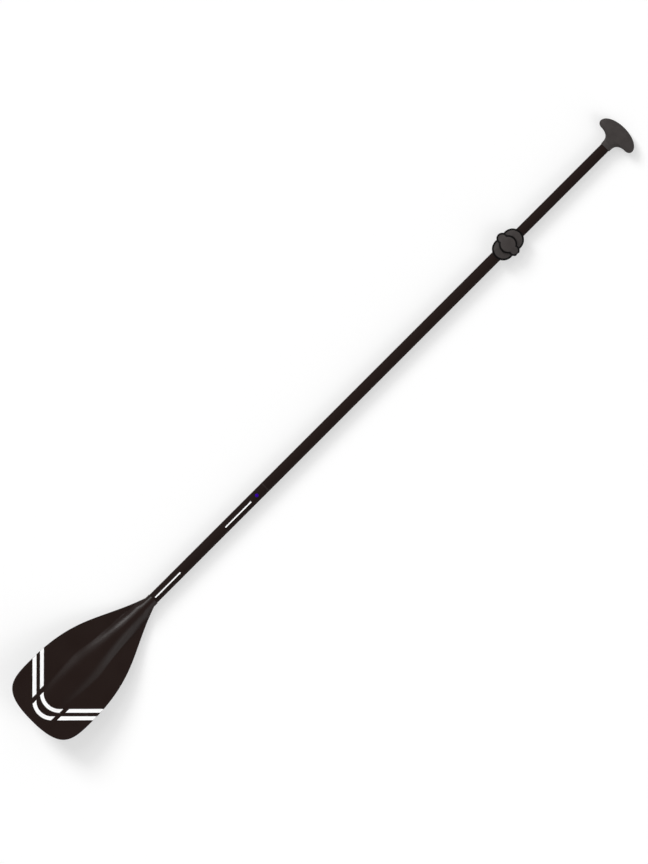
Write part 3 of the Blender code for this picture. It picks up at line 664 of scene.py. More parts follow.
bendRadius = bladeSizes["bendLength"] / bladeSizes["lean"]


def bladeTrueLength():
    # The length of the bent middle line whose reach is seen from above.
    lean = bladeSizes["lean"]
    straightBlade = (bladeSizes["reach"] - straightNeck - bendRadius * sin(lean)) / cos(lean)
    return straightNeck + bladeSizes["bendLength"] + straightBlade


bladeLength = bladeTrueLength()
socketEnd = bladeLength - bladeSizes["socketDepth"] - bladeSizes["socketLand"]


def placeOnBlade(fromNeck, across, up):
    # A point of the blade, given along its bent middle line, across it and square to it.
    pastNeck = fromNeck - straightNeck
    angle = min(max(pastNeck / bendRadius, 0), bladeSizes["lean"])
    after = max(pastNeck - bladeSizes["bendLength"], 0)
    x = -min(fromNeck, straightNeck) - bendRadius * sin(angle) - after * cos(angle)
    z = bendRadius * (1 - cos(angle)) + after * sin(angle)
    return Vector((x + up * sin(angle), across, z + up * cos(angle)))


def bladeOutline():
    # Half widths along the middle line, from the tip to the mouth of the neck.
    sizes = bladeSizes
    knots = [
        knot((0, 0), pi / 2, after=sizes["tipFullness"]),
        knot((sizes["widestFromTip"], sizes["halfWidth"]), 0,
             sizes["tipShoulder"], sizes["leadingShoulder"]),
        knot((bladeLength - sizes["collar"], neckRadius), -sizes["neckSlope"], sizes["neckEase"]),
    ]
    return bezierChain(knots, sizes["outlineSteps"]) + [(bladeLength, neckRadius)]


def spineOutline():
    sizes = bladeSizes
    neckHalfWidth = tubeRadius + gap + sizes["spineNeckWall"]
    before = sizes["spineWidestFromTip"] / 3
    knots = [
        knot((0, sizes["spineTipHalfWidth"]), sizes["spineTipSlope"], after=before),
        knot((sizes["spineWidestFromTip"], sizes["spineHalfWidth"]), 0, before, sizes["spineTaper"]),
        knot((socketEnd, neckHalfWidth), -sizes["spineNeckSlope"], sizes["spineNeckEase"]),
    ]
    return bezierChain(knots, sizes["outlineSteps"]) + [(bladeLength, neckHalfWidth)]


def bladeHalfSection(station, halfWidth, spine, fall):
    # Heights over the middle line, from the centre out to the rim.
    sizes = bladeSizes
    rimThickness = sizes["rimHalfThickness"]
    tipRound = 1 - (1 - min(station / rimThickness, 1)) ** 2
    rim = rimThickness * sqrt(tipRound)
    height = max(neckRadius * min(station / socketEnd, 1) ** fall, rim)
    roundness = smoothStep(socketEnd - sizes["flankSoftening"], socketEnd, station)
    power = sizes["shoulderPower"] + (sizes["neckPower"] - sizes["shoulderPower"]) * roundness
    softness = sizes["shoulderSoftness"] + (sizes["neckSoftness"] - sizes["shoulderSoftness"]) * roundness
    collarStart = bladeLength - sizes["collar"]
    collar = smoothStep(collarStart - sizes["neckFade"], collarStart, station)
    points = []
    for step in range(sizes["spineSteps"] + sizes["flangeSteps"] + 1):
        if step <= sizes["spineSteps"]:
            across = spine * sin(pi / 2 * step / sizes["spineSteps"])
        else:
            share = (step - sizes["spineSteps"]) / sizes["flangeSteps"]
            across = spine + (halfWidth - spine) * sin(pi / 2 * share)
        bulge = max(1 - (across / spine) ** power, 0) ** softness
        edge = min((halfWidth - across) / rimThickness, 1)
        up = rim * sqrt(max(1 - (1 - edge) ** 2, 0)) + (height - rim) * bulge
        oval = height * sqrt(max(1 - (across / halfWidth) ** 2, 0))
        points.append((across, up + (oval - up) * collar))
    return points


def bladeRing(station, halfWidth, spine):
    front = bladeHalfSection(station, halfWidth, spine, bladeSizes["frontFall"])
    back = bladeHalfSection(station, halfWidth, spine, bladeSizes["backFall"])
    around = front[:-1] + [(y, -z) for y, z in reversed(back)]
    around += [(-y, -z) for y, z in back[1:-1]] + [(-y, z) for y, z in reversed(front[1:])]
    return [placeOnBlade(bladeLength - station, y, z) for y, z in around]


def makeBlade():
    spineCurve = spineOutline()
    rings = [[placeOnBlade(bladeLength, 0, 0)]]
    for station, halfWidth in bladeOutline()[1:]:
        spine = min(valueAt(spineCurve, station), halfWidth * (1 - bladeSizes["rimShare"]))
        rings.append(bladeRing(station, halfWidth, spine))
    mouth = (neckX, 0, axisHeight)
    blade = pieceFrom("blade_shell", loft(rings), mouth)
    carve(blade, [cutter(-bladeSizes["socketDepth"] - gap, bladeSizes["socketLand"],
                         tubeRadius + gap, mouth)])
    return dressed(blade, bladePlastic, "blade_plastic", "blade", sharp=50)


# White marks: two broad chevrons on the blade and two lines on the tube below the seam

chevrons = {
    "start": 0.0021,             # where the arms' outer line meets the axis, from the tip
    "outerRadius": 0.049,        # of the rounded point
    "width": 0.0098,
    "shift": 0.0267,             # from one chevron to the next
    "innerWidth": 0.0092,
    "aside": -0.0012,            # the points lie a little to one side of the middle
    "breaks": {1: (0.0285, 0.0398), -1: (0.0350, 0.0456)},   # black break in the arm on each side
    "breakShift": 0.0008,        # nearer the middle in the first chevron, further out in the second
    "edgeInset": 0.0003,
    "columns": 90,
    "rows": 8,
}
tubeLines = {
    # From the tip, and whether the far end is round
    "spans": ((0.436, 0.5255, True), (0.6845, 0.7757, False)),
    "halfWidth": 0.0017,
    "aside": -0.0012,
    "columns": 24,
    "roundColumns": 8,
    "rows": 6,
}
paintSkin = {
    "dropFrom": 0.120,           # height from which a mark is dropped onto its surface
    "reach": 1.0,
    "lift": 0.00012,
    "thickness": 0.0002,
}


def markFrom(name, columns, surface):
    # Columns of flat places become a skin on the surface.
    shape = bmesh.new()
    top = paintSkin["dropFrom"]
    for group in columns:
        lines = [[shape.verts.new((x, y, top)) for x, y in column] for column in group]
        for this, following in zip(lines, lines[1:]):
            for step in range(len(this) - 1):
                shape.faces.new((this[step], this[step + 1], following[step + 1], following[step]))
    mark = pieceFrom(name, shape)
    if mark.data.polygons[0].normal.z < 0:
        mark.data.flip_normals()
    runTree(mark, markTree, {
        "Surface": surface, "Drop": paintSkin["reach"], "Lift": paintSkin["lift"],
        "Thickness": paintSkin["thickness"], "Finish": whitePaint})
    finished(mark, whitePaint, sharp=60)
    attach(mark, "shaft")
    return mark


def chevronEdge(across, start, radius):
    # A right angle with a rounded point, as distance from the tip.
    if across < radius * sin(pi / 4):
        return start + radius * sqrt(2) - sqrt(radius ** 2 - across ** 2)
    return start + across


def bladeEdges():
    # The leaning blade's outline seen from above: for each distance from the centre line, the
    # distances from the tip where the blade begins and ends.
    seen = [(halfWidth, bladeSizes["reach"] + placeOnBlade(bladeLength - station, 0, 0).x, station)
            for station, halfWidth in bladeOutline()]
    widest = bladeSizes["widestFromTip"]
    near = [(halfWidth, along) for halfWidth, along, station in seen if station <= widest]
    far = [(halfWidth, along) for halfWidth, along, station in reversed(seen) if station >= widest]
    return near, far


def chevronColumns(start, width, low, high, side, edges):
    # The part of a chevron between two distances from the centre line, on one side of it.
    inner = chevrons["outerRadius"] - width
    back = start + width * sqrt(2)
    near, far = edges
    columns = []
    for step in range(chevrons["columns"] + 1):
        across = low + (high - low) * step / chevrons["columns"]
        inset = across + chevrons["edgeInset"]
        fromPoint = abs(side * across - chevrons["aside"])
        first = max(chevronEdge(fromPoint, start, chevrons["outerRadius"]), valueAt(near, inset))
        last = min(chevronEdge(fromPoint, back, inner), valueAt(far, inset))
        if last <= first:
            break
        shares = [row / chevrons["rows"] for row in range(chevrons["rows"] + 1)]
        columns.append([(tipX + first + (last - first) * share, side * across) for share in shares])
    return columns


def makeChevrons(blade):
    edges = bladeEdges()
    widest = bladeSizes["halfWidth"] - 2 * chevrons["edgeInset"]
    first, second = chevrons["start"], chevrons["start"] + chevrons["shift"]
    shift = chevrons["breakShift"]
    groups = []
    for start, width, moved in ((first, chevrons["width"], -shift),
                                (second, chevrons["innerWidth"], shift)):
        for side, (breakFrom, breakTo) in chevrons["breaks"].items():
            groups.append(chevronColumns(start, width, 0, breakFrom + moved, side, edges))
            groups.append(chevronColumns(start, width, breakTo + moved, widest, side, edges))
    markFrom("blade_chevrons", groups, blade)


def makeTubeLines(lowerTube):
    half = tubeLines["halfWidth"]
    groups = []
    for start, end, roundEnd in tubeLines["spans"]:
        count = tubeLines["roundColumns"]
        turns = [pi / 2 * step / count for step in range(1, count + 1)]
        columns = [(start + half - half * cos(turn), half * sin(turn)) for turn in turns]
        straight = end - start - (2 if roundEnd else 1) * half
        for step in range(1, tubeLines["columns"] + 1):
            columns.append((start + half + straight * step / tubeLines["columns"], half))
        if roundEnd:
            columns += [(end - half + half * sin(turn), half * cos(turn)) for turn in turns[:-1]]
        group = []
        for along, wide in columns:
            shares = [2 * row / tubeLines["rows"] - 1 for row in range(tubeLines["rows"] + 1)]
            group.append([(tipX + along, wide * share + tubeLines["aside"]) for share in shares])
        groups.append(group)
    markFrom("tube_lines", groups, lowerTube)


# Shaft tubes and the take-down joint

shaftSizes = {
    "wall": 0.001,
    "slotLength": 0.045,
    "slotWidth": 0.002,
    "ferruleWall": 0.0015,
    "ringLip": 1.0,              # share of the gap beside the ring that its lips fill
    "plugFlange": 0.002,
    "bushRim": 0.004,
    "bushWall": 0.004,
}
shaftBore = tubeRadius - shaftSizes["wall"]
upperBore = upperRadius - shaftSizes["wall"]
ferruleBore = ferruleRadius - shaftSizes["ferruleWall"]
buttonSizes = {
    "radius": 0.0044,
    "flangeWidth": 0.0016,
    "flange": 0.001,
    "proud": 0.0022,
    "topLand": 0.0022,
    "domeSteps": 16,
}


def buttonHole():
    top = tubeRadius + buttonSizes["proud"]
    return cutter(ferruleBore / 2, top, buttonSizes["radius"] + gap, (buttonX, 0, axisHeight), "Z")


def makeTubes():
    low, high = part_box("lower_tube")
    lower = tube("lower_shaft", low.x, high.x, shaftBore, tubeRadius, shaftCoat)
    carve(lower, [buttonHole()])
    low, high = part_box("middle_tube")
    middle = tube("middle_shaft", low.x, high.x, shaftBore, tubeRadius, shaftCoat)
    reach, half = tubeRadius + gap, shaftSizes["slotWidth"] / 2
    slots = block((high.x - shaftSizes["slotLength"], -reach, axisHeight - half),
                  (high.x + gap, reach, axisHeight + half))
    carve(middle, [pieceFrom("cutter", slots), *screwHoles()])
    low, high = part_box("upper_tube")
    upper = tube("upper_shaft", low.x, high.x, upperBore, upperRadius, shaftCoat)
    for piece, node in ((lower, "lower_tube"), (middle, "middle_tube"), (upper, "upper_tube")):
        dressed(piece, shaftCoat, "shaft_coat", node)
    return lower


def makeJoint():
    low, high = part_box("joint_ring")
    lip = shaftSizes["ringLip"] * gap
    inner, outer = ferruleRadius + gap, radiusOf("joint_ring")
    ring = tube("seam_ring", low.x - lip, high.x + lip, inner, outer, ringPlastic)
    dressed(ring, ringPlastic, "ring_plastic", "joint_ring")
    low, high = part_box("ferrule")
    ferrule = tube("inner_ferrule", low.x, high.x, ferruleBore, ferruleRadius, drawnAluminium)
    carve(ferrule, [buttonHole()])
    dressed(ferrule, drawnAluminium, "bare_aluminium", "ferrule")
    low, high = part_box("ferrule_plug")
    face, spigot = low.x + shaftSizes["plugFlange"], ferruleBore - gap
    profile = [(low.x, 0), (low.x, ferruleRadius), (face, ferruleRadius), (face, spigot),
               (high.x, spigot), (high.x, 0)]
    plug = turned("ferrule_cap", profile, whiteNylon, (0, 0, axisHeight))
    dressed(plug, whiteNylon, "nylon", "ferrule_plug")


def makeButton():
    low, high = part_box("snap_button")
    radius, flange = buttonSizes["radius"], buttonSizes["radius"] + buttonSizes["flangeWidth"]
    foot = low.z - axisHeight
    step = foot + buttonSizes["flange"]
    dome = arc((buttonSizes["topLand"], tubeRadius),
               (radius - buttonSizes["topLand"], buttonSizes["proud"]), 0, pi / 2, buttonSizes["domeSteps"])
    corners = [(foot, 0), (foot, flange), (step, flange), (step, radius), (step + radius, radius)]
    profile = [tuple(point) for point in roundCorners(corners, lathe["round"], False)]
    profile += [(height, wide) for wide, height in dome]
    profile += [(high.z - axisHeight, 0)]
    button = turned("press_button", profile, violetPlastic, (buttonX, 0, axisHeight), "Z", size=0)
    dressed(button, violetPlastic, "button_plastic", "snap_button")


springSizes = {
    "thickness": 0.0008,
    "bend": 0.003,               # radius of the V's bend
    "bendSteps": 20,
    "shoulderRound": 0.005,      # where the upper leg turns to lie under the button
    "edgeRound": 0.00015,
}


def makeButtonSpring():
    # One steel strip folded into a V: a leg on the ferrule's floor, a bend, and a leg under the
    # button. It closes as the button goes in.
    sizes = springSizes
    low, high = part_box("button_spring")
    half, bend = sizes["thickness"] / 2, sizes["bend"]
    floor, seat = low.z + half, high.z - half
    bendX = high.x - half - bend
    shoulder = buttonSizes["radius"] + buttonSizes["flangeWidth"]
    rise = atan2(seat - floor - 2 * bend, bendX - buttonX - 2 * buttonSizes["radius"])
    path = [(low.x, floor)] + arc((bendX, floor + bend), bend, -pi / 2, pi / 2 - rise, sizes["bendSteps"])
    path += [(buttonX + shoulder, seat), (buttonX - shoulder, seat)]
    path = roundCorners(path, sizes["shoulderRound"], False)
    corners = [(low.y, -half), (high.y, -half), (high.y, half), (low.y, half)]
    section = roundCorners(corners, sizes["edgeRound"], True)
    rings = []
    for step, place in enumerate(path):
        run = (path[min(step + 1, len(path) - 1)] - path[max(step - 1, 0)]).normalized()
        rings.append([(place.x - run.y * up, across, place.y + run.x * up) for across, up in section])
    spring = pieceFrom("leaf_spring", loft(rings))
    dressed(spring, brushedSteel, "steel", "button_spring")
    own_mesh(spring)


foamPlug = {
    "endRound": 0.0022,
    "crown": 0.0008,
    "crownSteps": 8,
}


def makeFoamPlugs():
    # Cut foam pressed into the tubes: straight sides, soft corners and slightly domed ends.
    for name, node in (("lower_foam", "lower_seal"), ("middle_foam", "middle_seal"),
                       ("upper_foam", "upper_seal")):
        low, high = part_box(node)
        radius, soft = radiusOf(node), foamPlug["endRound"]
        start, end = low.x + foamPlug["crown"], high.x - foamPlug["crown"]
        steps = foamPlug["crownSteps"]
        turns = [pi / 2 * step / steps for step in range(steps + 1)]
        profile = [(start - foamPlug["crown"] * cos(turn), (radius - soft) * sin(turn)) for turn in turns]
        profile += [(start + soft - soft * cos(turn), radius - soft + soft * sin(turn))
                    for turn in turns[1:]]
        profile += [(start + end - station, wide) for station, wide in reversed(profile)]
        plug = turned(name, profile, cellFoam, (0, 0, axisHeight), size=0)
        dressed(plug, cellFoam, "foam", node, sharp=60)


def makeGuideBush():
    low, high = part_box("guide_bush")
    spigot = upperBore - gap
    inner, rim = spigot - shaftSizes["bushWall"], low.x + shaftSizes["bushRim"]
    profile = [(low.x, inner), (low.x, upperRadius), (rim, upperRadius), (rim, spigot),
               (high.x, spigot), (high.x, inner)]
    bush = turned("tube_guide", profile, whiteNylon, (0, 0, axisHeight), closed=True)
    dressed(bush, whiteNylon, "nylon", "guide_bush")


# Clamp: two-lobed collar with lugs, and a lever like a disc with two ears

clampSizes = {
    "lobeRadius": 0.0278,
    "lobeOffset": 0.0163,
    "base": 0.0175,
    "baseHalfWidth": 0.017,
    "lowerCorner": 0.0105,
    "endDrop": 0.0045,
    "slitDrop": 0.006,
    "slitWidth": 0.0024,
    "slitBehind": 0.022,
    "bushSlit": 0.002,
    "lugDepth": 0.015,
    "lugInset": 0.0008,
    "recess": 0.003,
    "screwRadius": 0.002,
    "screwPlaces": (0.030, 0.020),
    "screwInset": 0.0003,
    "screwKey": 0.0011,
    "discRadius": 0.0225,
    "earRadius": 0.0136,
    "earOffset": 0.0211,
    "leverTop": 0.027,
    "leverArc": 0.045,
    "leverThickness": 0.0045,
    "leverRelief": 0.0005,
    "swing": radians(90),
    "knuckleRadius": 0.0065,
    "knuckleHalfLength": 0.010,
    "reliefMargin": 0.0006,
    "pinRadius": 0.004,
    "pinHalfLength": 0.0078,
    "padThickness": 0.0012,
    "boltRadius": 0.0025,
    "boltInset": 0.0006,
    "headRadius": 0.00425,
    "headHeight": 0.0032,
    "headKey": 0.0017,
    "washerRadius": 0.0048,
    "washerThickness": 0.001,
    "grainOfMesh": 0.00062,      # face size of the moulded surface
    "softening": 4,
    "softenShare": 0.5,
    "outset": 0.0008,            # drawn wider by what the softening takes off
    "shadeRimDrop": 0.0015,           # how far the painted shade rim runs down the wall
}
clampSteps = {                   # points on the outlines' arcs
    "lobe": 90,
    "disc": 40,
    "ear": 48,
    "crown": 60,
    "endCrown": 50,
    "lowerCorner": 20,
    "swing": 24,
}
arcCentre = clampSizes["leverTop"] - clampSizes["leverArc"]
crownRadius = clampSizes["leverArc"] - clampSizes["leverThickness"] - clampSizes["leverRelief"]
pinY, pinZ = pinPlace.y, pinPlace.z - axisHeight
lugTop = pinZ - clampSizes["knuckleRadius"] - 2 * gap - clampSizes["padThickness"]
recessFloor = clampSizes["recess"] - clampSizes["lugDepth"]
boltRoom = clampSizes["boltRadius"] + 1.5 * gap     # half the lever's slot for the bolt
clampPlace = Vector((clampX, 0, axisHeight))
boltPlace = clampPlace + Vector((0, pinY, 0))


def lobesOutline():
    radius, offset = clampSizes["lobeRadius"] + clampSizes["outset"], clampSizes["lobeOffset"]
    corner = atan2(sqrt(radius ** 2 - offset ** 2), -offset)
    right = arc((offset, 0), radius, -corner, corner, clampSteps["lobe"])
    left = arc((-offset, 0), radius, pi - corner, pi + corner, clampSteps["lobe"])
    return right[:-1] + left[:-1]


def leverOutline():
    disc = clampSizes["discRadius"] + clampSizes["outset"]
    ear, offset = clampSizes["earRadius"] + clampSizes["outset"], clampSizes["earOffset"]
    meet = (disc ** 2 - ear ** 2 + offset ** 2) / (2 * offset)
    beside = sqrt(disc ** 2 - meet ** 2)
    onDisc, onEar = atan2(meet, beside), atan2(meet - offset, beside)
    outline = []
    for turn, side in ((0, offset), (pi, -offset)):
        outline += arc((0, 0), disc, turn - onDisc, turn + onDisc, clampSteps["disc"])[:-1]
        outline += arc((0, side), ear, turn + onEar, turn + pi - onEar, clampSteps["ear"])[:-1]
    return outline


def collarFrontProfile():
    side = clampSizes["lobeRadius"] + clampSizes["outset"] + 2 * gap
    lean = asin(side / crownRadius)
    crown = arc((0, arcCentre), crownRadius, pi / 2 - lean, pi / 2 + lean, clampSteps["crown"])
    corner = (side - clampSizes["baseHalfWidth"], clampSizes["lowerCorner"])
    centreY, centreZ = clampSizes["baseHalfWidth"], clampSizes["lowerCorner"] - clampSizes["base"]
    left = arc((-centreY, centreZ), corner, pi, 3 * pi / 2, clampSteps["lowerCorner"])
    right = arc((centreY, centreZ), corner, -pi / 2, 0, clampSteps["lowerCorner"])
    return crown + left + right


def collarEndRadius():
    reach = clampSizes["lobeOffset"] + clampSizes["lobeRadius"] + clampSizes["outset"] + 2 * gap
    return reach, (reach ** 2 + clampSizes["endDrop"] ** 2) / (2 * clampSizes["endDrop"])


def collarSideProfile():
    reach, radius = collarEndRadius()
    lean = asin(reach / radius)
    crown = arc((0, arcCentre + crownRadius - radius), radius, pi / 2 - lean, pi / 2 + lean,
                clampSteps["endCrown"])
    base = -clampSizes["base"] - gap
    return crown + [(-reach, base), (reach, base)]


def leverProfile():
    pastEnd = clampSizes["earOffset"] + clampSizes["earRadius"] + clampSizes["outset"] + 2 * gap
    outerRadius, knuckle = clampSizes["leverArc"], clampSizes["knuckleRadius"]
    inner = outerRadius - clampSizes["leverThickness"]
    spread = outerRadius - knuckle
    radial = pi / 2 + asin(-pinY / spread)
    beside = (inner ** 2 - spread ** 2 - knuckle ** 2) / (2 * spread * knuckle)
    last = 2 * pi - asin(sqrt(1 - beside ** 2))
    steps = clampSteps["crown"]
    outside = arc((0, arcCentre), outerRadius, pi / 2 - asin(pastEnd / outerRadius), radial, steps)
    turn = arc((pinY, pinZ), knuckle, radial, radial + last, steps)
    meet = atan2(turn[-1][1] - arcCentre, turn[-1][0])
    inside = arc((0, arcCentre), inner, meet, pi / 2 - asin(pastEnd / inner), steps)
    return outside[:-1] + turn + inside[1:]


def boltSweep():
    # The space that the bolt takes up inside the lever while the lever swings.
    reach = 2 * clampSizes["knuckleRadius"]
    start, end = -pi / 2, -pi / 2 - clampSizes["swing"]
    first = (pinY + boltRoom, pinZ)
    last = (pinY + boltRoom * cos(end - pi / 2), pinZ + boltRoom * sin(end - pi / 2))
    fan = arc((pinY, pinZ), reach, start, end, clampSteps["swing"])
    trail = (last[0] + reach * cos(end), last[1] + reach * sin(end))
    return [first, (first[0], first[1] - reach)] + fan[1:-1] + [trail, last]


def screwHoles():
    low, high = -clampSizes["base"] - gap, -shaftBore / 2
    return [cutter(low, high, clampSizes["screwRadius"] + gap, (clampX - behind, 0, axisHeight), "Z")
            for behind in clampSizes["screwPlaces"]]


def mouldSoft(piece):
    # Even small faces and softened corners, as a mould leaves them.
    remesh = piece.modifiers.new("even faces", "REMESH")
    remesh.mode = "VOXEL"
    remesh.voxel_size = clampSizes["grainOfMesh"]
    soften = piece.modifiers.new("soft corners", "SMOOTH")
    soften.factor = clampSizes["softenShare"]
    soften.iterations = clampSizes["softening"]
    return freeze(piece)


def markShadeRim(piece, discs, crownAt):
    # Stores how far each point is from the outline on top, which the finish reads for its painted shade rim, a
    # black band along the edges.
    wide, drop = clampLook["shadeRimWidth"], clampSizes["shadeRimDrop"]
    mesh = piece.data
    values = []
    for vert in mesh.vertices:
        x, y, z = vert.co - clampPlace
        inward = max(radius - hypot(x - centreX, y - centreY) for centreX, centreY, radius in discs)
        depth = max(crownAt(x, y) - z, 0)
        values.append(hypot(max(inward, 0), depth * wide / drop))
    mesh.attributes.new("edge", "FLOAT", "POINT").data.foreach_set("value", values)


def makeCollar():
    tall = clampSizes["leverTop"] + clampSizes["base"]
    reach = clampSizes["lobeOffset"] + clampSizes["lobeRadius"]
    lobe, offset, ear = clampSizes["lobeRadius"], clampSizes["lobeOffset"], clampSizes["earRadius"]
    earPlace = clampPlace - Vector((0, clampSizes["earOffset"], 0))
    collar = pieceFrom("clamp_body", prism(lobesOutline(), "Z", -tall, tall), clampPlace)
    front = flatCutter(collarFrontProfile(), "X", -2 * reach, 2 * reach, clampPlace)
    carve(collar, [front], "INTERSECT")
    side = flatCutter(collarSideProfile(), "Y", -2 * lobe, 2 * lobe, clampPlace)
    carve(collar, [side], "INTERSECT")
    lugs = cutter(-clampSizes["lugDepth"], pinZ, ear - clampSizes["lugInset"], earPlace, "Z")
    carve(collar, [lugs], "UNION")
    back = asin((pinY + clampSizes["knuckleRadius"] + clampSizes["reliefMargin"]
                 + clampSizes["earOffset"]) / ear)
    relief = arc((0, 0), ear, pi - back, 2 * pi + back, clampSteps["disc"])
    middle, half = -clampSizes["slitDrop"], clampSizes["slitWidth"] / 2
    slit = block((-clampSizes["slitBehind"], -2 * lobe, middle - half),
                 (2 * reach, -tubeRadius / 2, middle + half))
    below = -2 * clampSizes["lugDepth"]
    carve(collar, [
        flatCutter(relief, "Z", lugTop, tall, earPlace),
        pieceFrom("cutter", slit, clampPlace),
        cutter(-2 * reach, 2 * reach, tubeRadius + gap, clampPlace),
        cutter(below, lugTop + gap, clampSizes["boltRadius"] + gap, boltPlace, "Z"),
        cutter(below, recessFloor, clampSizes["washerRadius"] + gap, boltPlace, "Z"),
        *screwHoles(),
    ])
    mouldSoft(collar)
    endRadius = collarEndRadius()[1]

    def crownAt(x, y):
        across = arcCentre + sqrt(max(crownRadius ** 2 - y ** 2, 0))
        along = arcCentre + crownRadius - endRadius + sqrt(max(endRadius ** 2 - x ** 2, 0))
        return min(across, along)

    markShadeRim(collar, [(offset, 0, lobe), (-offset, 0, lobe)], crownAt)
    dressed(collar, clampGrey, "clamp_plastic", "clamp_collar", sharp=70)


def makeLever():
    tall = clampSizes["leverTop"] + clampSizes["base"]
    reach = 2 * clampSizes["discRadius"]
    ear, offset = clampSizes["earRadius"], clampSizes["earOffset"]
    lever = pieceFrom("clamp_handle", prism(leverOutline(), "Z", -tall, tall), clampPlace)
    carve(lever, [flatCutter(leverProfile(), "X", -reach, reach, clampPlace)], "INTERSECT")
    side, knuckle = ear + clampSizes["outset"] + gap, clampSizes["knuckleHalfLength"]
    inner = clampSizes["leverArc"] - clampSizes["leverThickness"]
    under = arc((0, arcCentre), inner, pi / 2, pi, clampSteps["crown"]) + [(0, -tall)]
    carve(lever, [
        flatCutter(under, "X", -side, -knuckle, clampPlace),
        flatCutter(under, "X", knuckle, side, clampPlace),
        flatCutter(boltSweep(), "X", -boltRoom, boltRoom, clampPlace),
        cutter(-side, side, clampSizes["pinRadius"] + gap, pinPlace),
    ])
    mouldSoft(lever)

    def topAt(x, y):
        return arcCentre + sqrt(max(clampSizes["leverArc"] ** 2 - y ** 2, 0))

    markShadeRim(lever, [(0, 0, clampSizes["discRadius"]), (0, offset, ear), (0, -offset, ear)], topAt)
    dressed(lever, clampGrey, "clamp_plastic", "clamp_lever", sharp=70)


def hexagonKey(halfWidth, low, high, place):
    hexagon = arc((0, 0), halfWidth * 2 / sqrt(3), 0, 2 * pi, 6)[:-1]
    return flatCutter(hexagon, "Z", low, high, place)


def makeFasteners():
    # Barrel pin, crossed by the bolt
    length, radius = clampSizes["pinHalfLength"], clampSizes["pinRadius"]
    pin = rod("cross_pin", -length, length, radius, brushedSteel, pinPlace)
    carve(pin, [cutter(-2 * radius, 2 * radius, clampSizes["boltRadius"] + gap, pinPlace, "Z")])
    dressed(pin, brushedSteel, "steel", "barrel_pin")
    # Washer and bolt under the lower lug
    top = recessFloor - gap
    bottom = top - clampSizes["washerThickness"]
    inner = clampSizes["boltRadius"] + gap
    ring = [(bottom, inner), (top, inner), (top, clampSizes["washerRadius"]),
            (bottom, clampSizes["washerRadius"])]
    washer = turned("lug_washer", ring, brushedSteel, boltPlace, "Z", closed=True)
    dressed(washer, brushedSteel, "steel", "bolt_washer")
    headTop = bottom - gap
    headBottom = headTop - clampSizes["headHeight"]
    end = pinZ + radius - clampSizes["boltInset"]
    head, shank = clampSizes["headRadius"], clampSizes["boltRadius"]
    profile = [(headBottom, 0), (headBottom, head), (headTop, head)]
    profile += [(headTop, shank), (end, shank), (end, 0)]
    bolt = turned("clamp_bolt", profile, brushedSteel, boltPlace, "Z", sides=lathe["smallSides"])
    carve(bolt, [hexagonKey(clampSizes["headKey"], headBottom - gap,
                            headTop - clampSizes["headHeight"] / 3, boltPlace)])
    dressed(bolt, brushedSteel, "steel", "draw_bolt")


def makeScrewTree():
    # One screw set at each point of a line.
    tree, given = newTree("screwRow", {"Screw": "Object", "Finish": "Material"})
    screw = addNode(tree, "GeometryNodeObjectInfo", {"transform_space": "RELATIVE"},
                    {"Object": given["Screw"], "As Instance": True})
    row = addNode(tree, "GeometryNodeInstanceOnPoints", inputs={
        "Points": given["Geometry"], "Instance": screw.outputs["Geometry"]})
    return endTree(tree, row.outputs[0], given["Finish"])


def makeScrews():
    low, high = -clampSizes["base"] + clampSizes["screwInset"], -shaftBore - gap / 2
    screw = rod("single_screw", low, high, clampSizes["screwRadius"], brushedSteel, (0, 0, 0), "Z")
    carve(screw, [hexagonKey(clampSizes["screwKey"], -clampSizes["base"] - gap,
                             -clampSizes["base"] + clampSizes["screwRadius"], (0, 0, 0))])
    mesh = bpy.data.meshes.new("collar_screws")
    places = [(clampX - behind, 0, axisHeight) for behind in clampSizes["screwPlaces"]]
    mesh.from_pydata(places, [], [])
    screws = runTree(newPiece("collar_screws", mesh), makeScrewTree(),
                     {"Screw": screw, "Finish": brushedSteel})
    bpy.data.objects.remove(screw)
    dressed(screws, brushedSteel, "steel", "collar_screw_1", "collar_screw_2")


def makeMouthBush():
    low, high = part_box("mouth_bush")
    bush = tube("split_bush", low.x, high.x, upperRadius + gap, tubeRadius, whiteNylon)
    middle, half = axisHeight - clampSizes["slitDrop"], clampSizes["bushSlit"] / 2
    slit = block((low.x - gap, -2 * tubeRadius, middle - half),
                 (high.x + gap, -tubeRadius / 2, middle + half))
    carve(bush, [pieceFrom("cutter", slit)])
    dressed(bush, whiteNylon, "nylon", "mouth_bush")


# T-grip

gripSizes = {
    "length": 0.0692,
    "halfWidth": 0.0560,
    "halfDepth": 0.0165,
    "crown": 0.0291,
    "step": 0.0015,
    "spigot": 0.045,
    "stem": 0.010,
    "stemFlare": 0.0006,
    "stemSlope": radians(5),
    "armRoot": 0.0289,
    "armRootHalfWidth": 0.043,
    "armSlope": radians(90),
    "armFillet": 0.0256,
    "armShoulder": 0.0072,
    "squareness": 2.6,
    "quarterHandle": 0.5523,     # handle that makes a quarter circle of radius 1
    "sides": 144,
    "steps": 36,
}


def gripOutline():
    sizes = gripSizes
    stem = upperRadius + sizes["step"]
    widest = sizes["length"] - sizes["crown"]
    quarter = sizes["quarterHandle"]
    knots = [
        knot((0, stem), 0, after=sizes["stem"] / 2),
        knot((sizes["stem"], stem + sizes["stemFlare"]), sizes["stemSlope"],
             sizes["stem"] / 2, sizes["stem"] / 3),
        knot((sizes["armRoot"], sizes["armRootHalfWidth"]), sizes["armSlope"],
             sizes["armFillet"], sizes["armShoulder"]),
        knot((widest, sizes["halfWidth"]), 0,
             (widest - sizes["armRoot"]) / 2, sizes["crown"] * quarter),
        knot((sizes["length"], 0), -pi / 2, sizes["halfWidth"] * quarter),
    ]
    return bezierChain(knots, sizes["steps"])


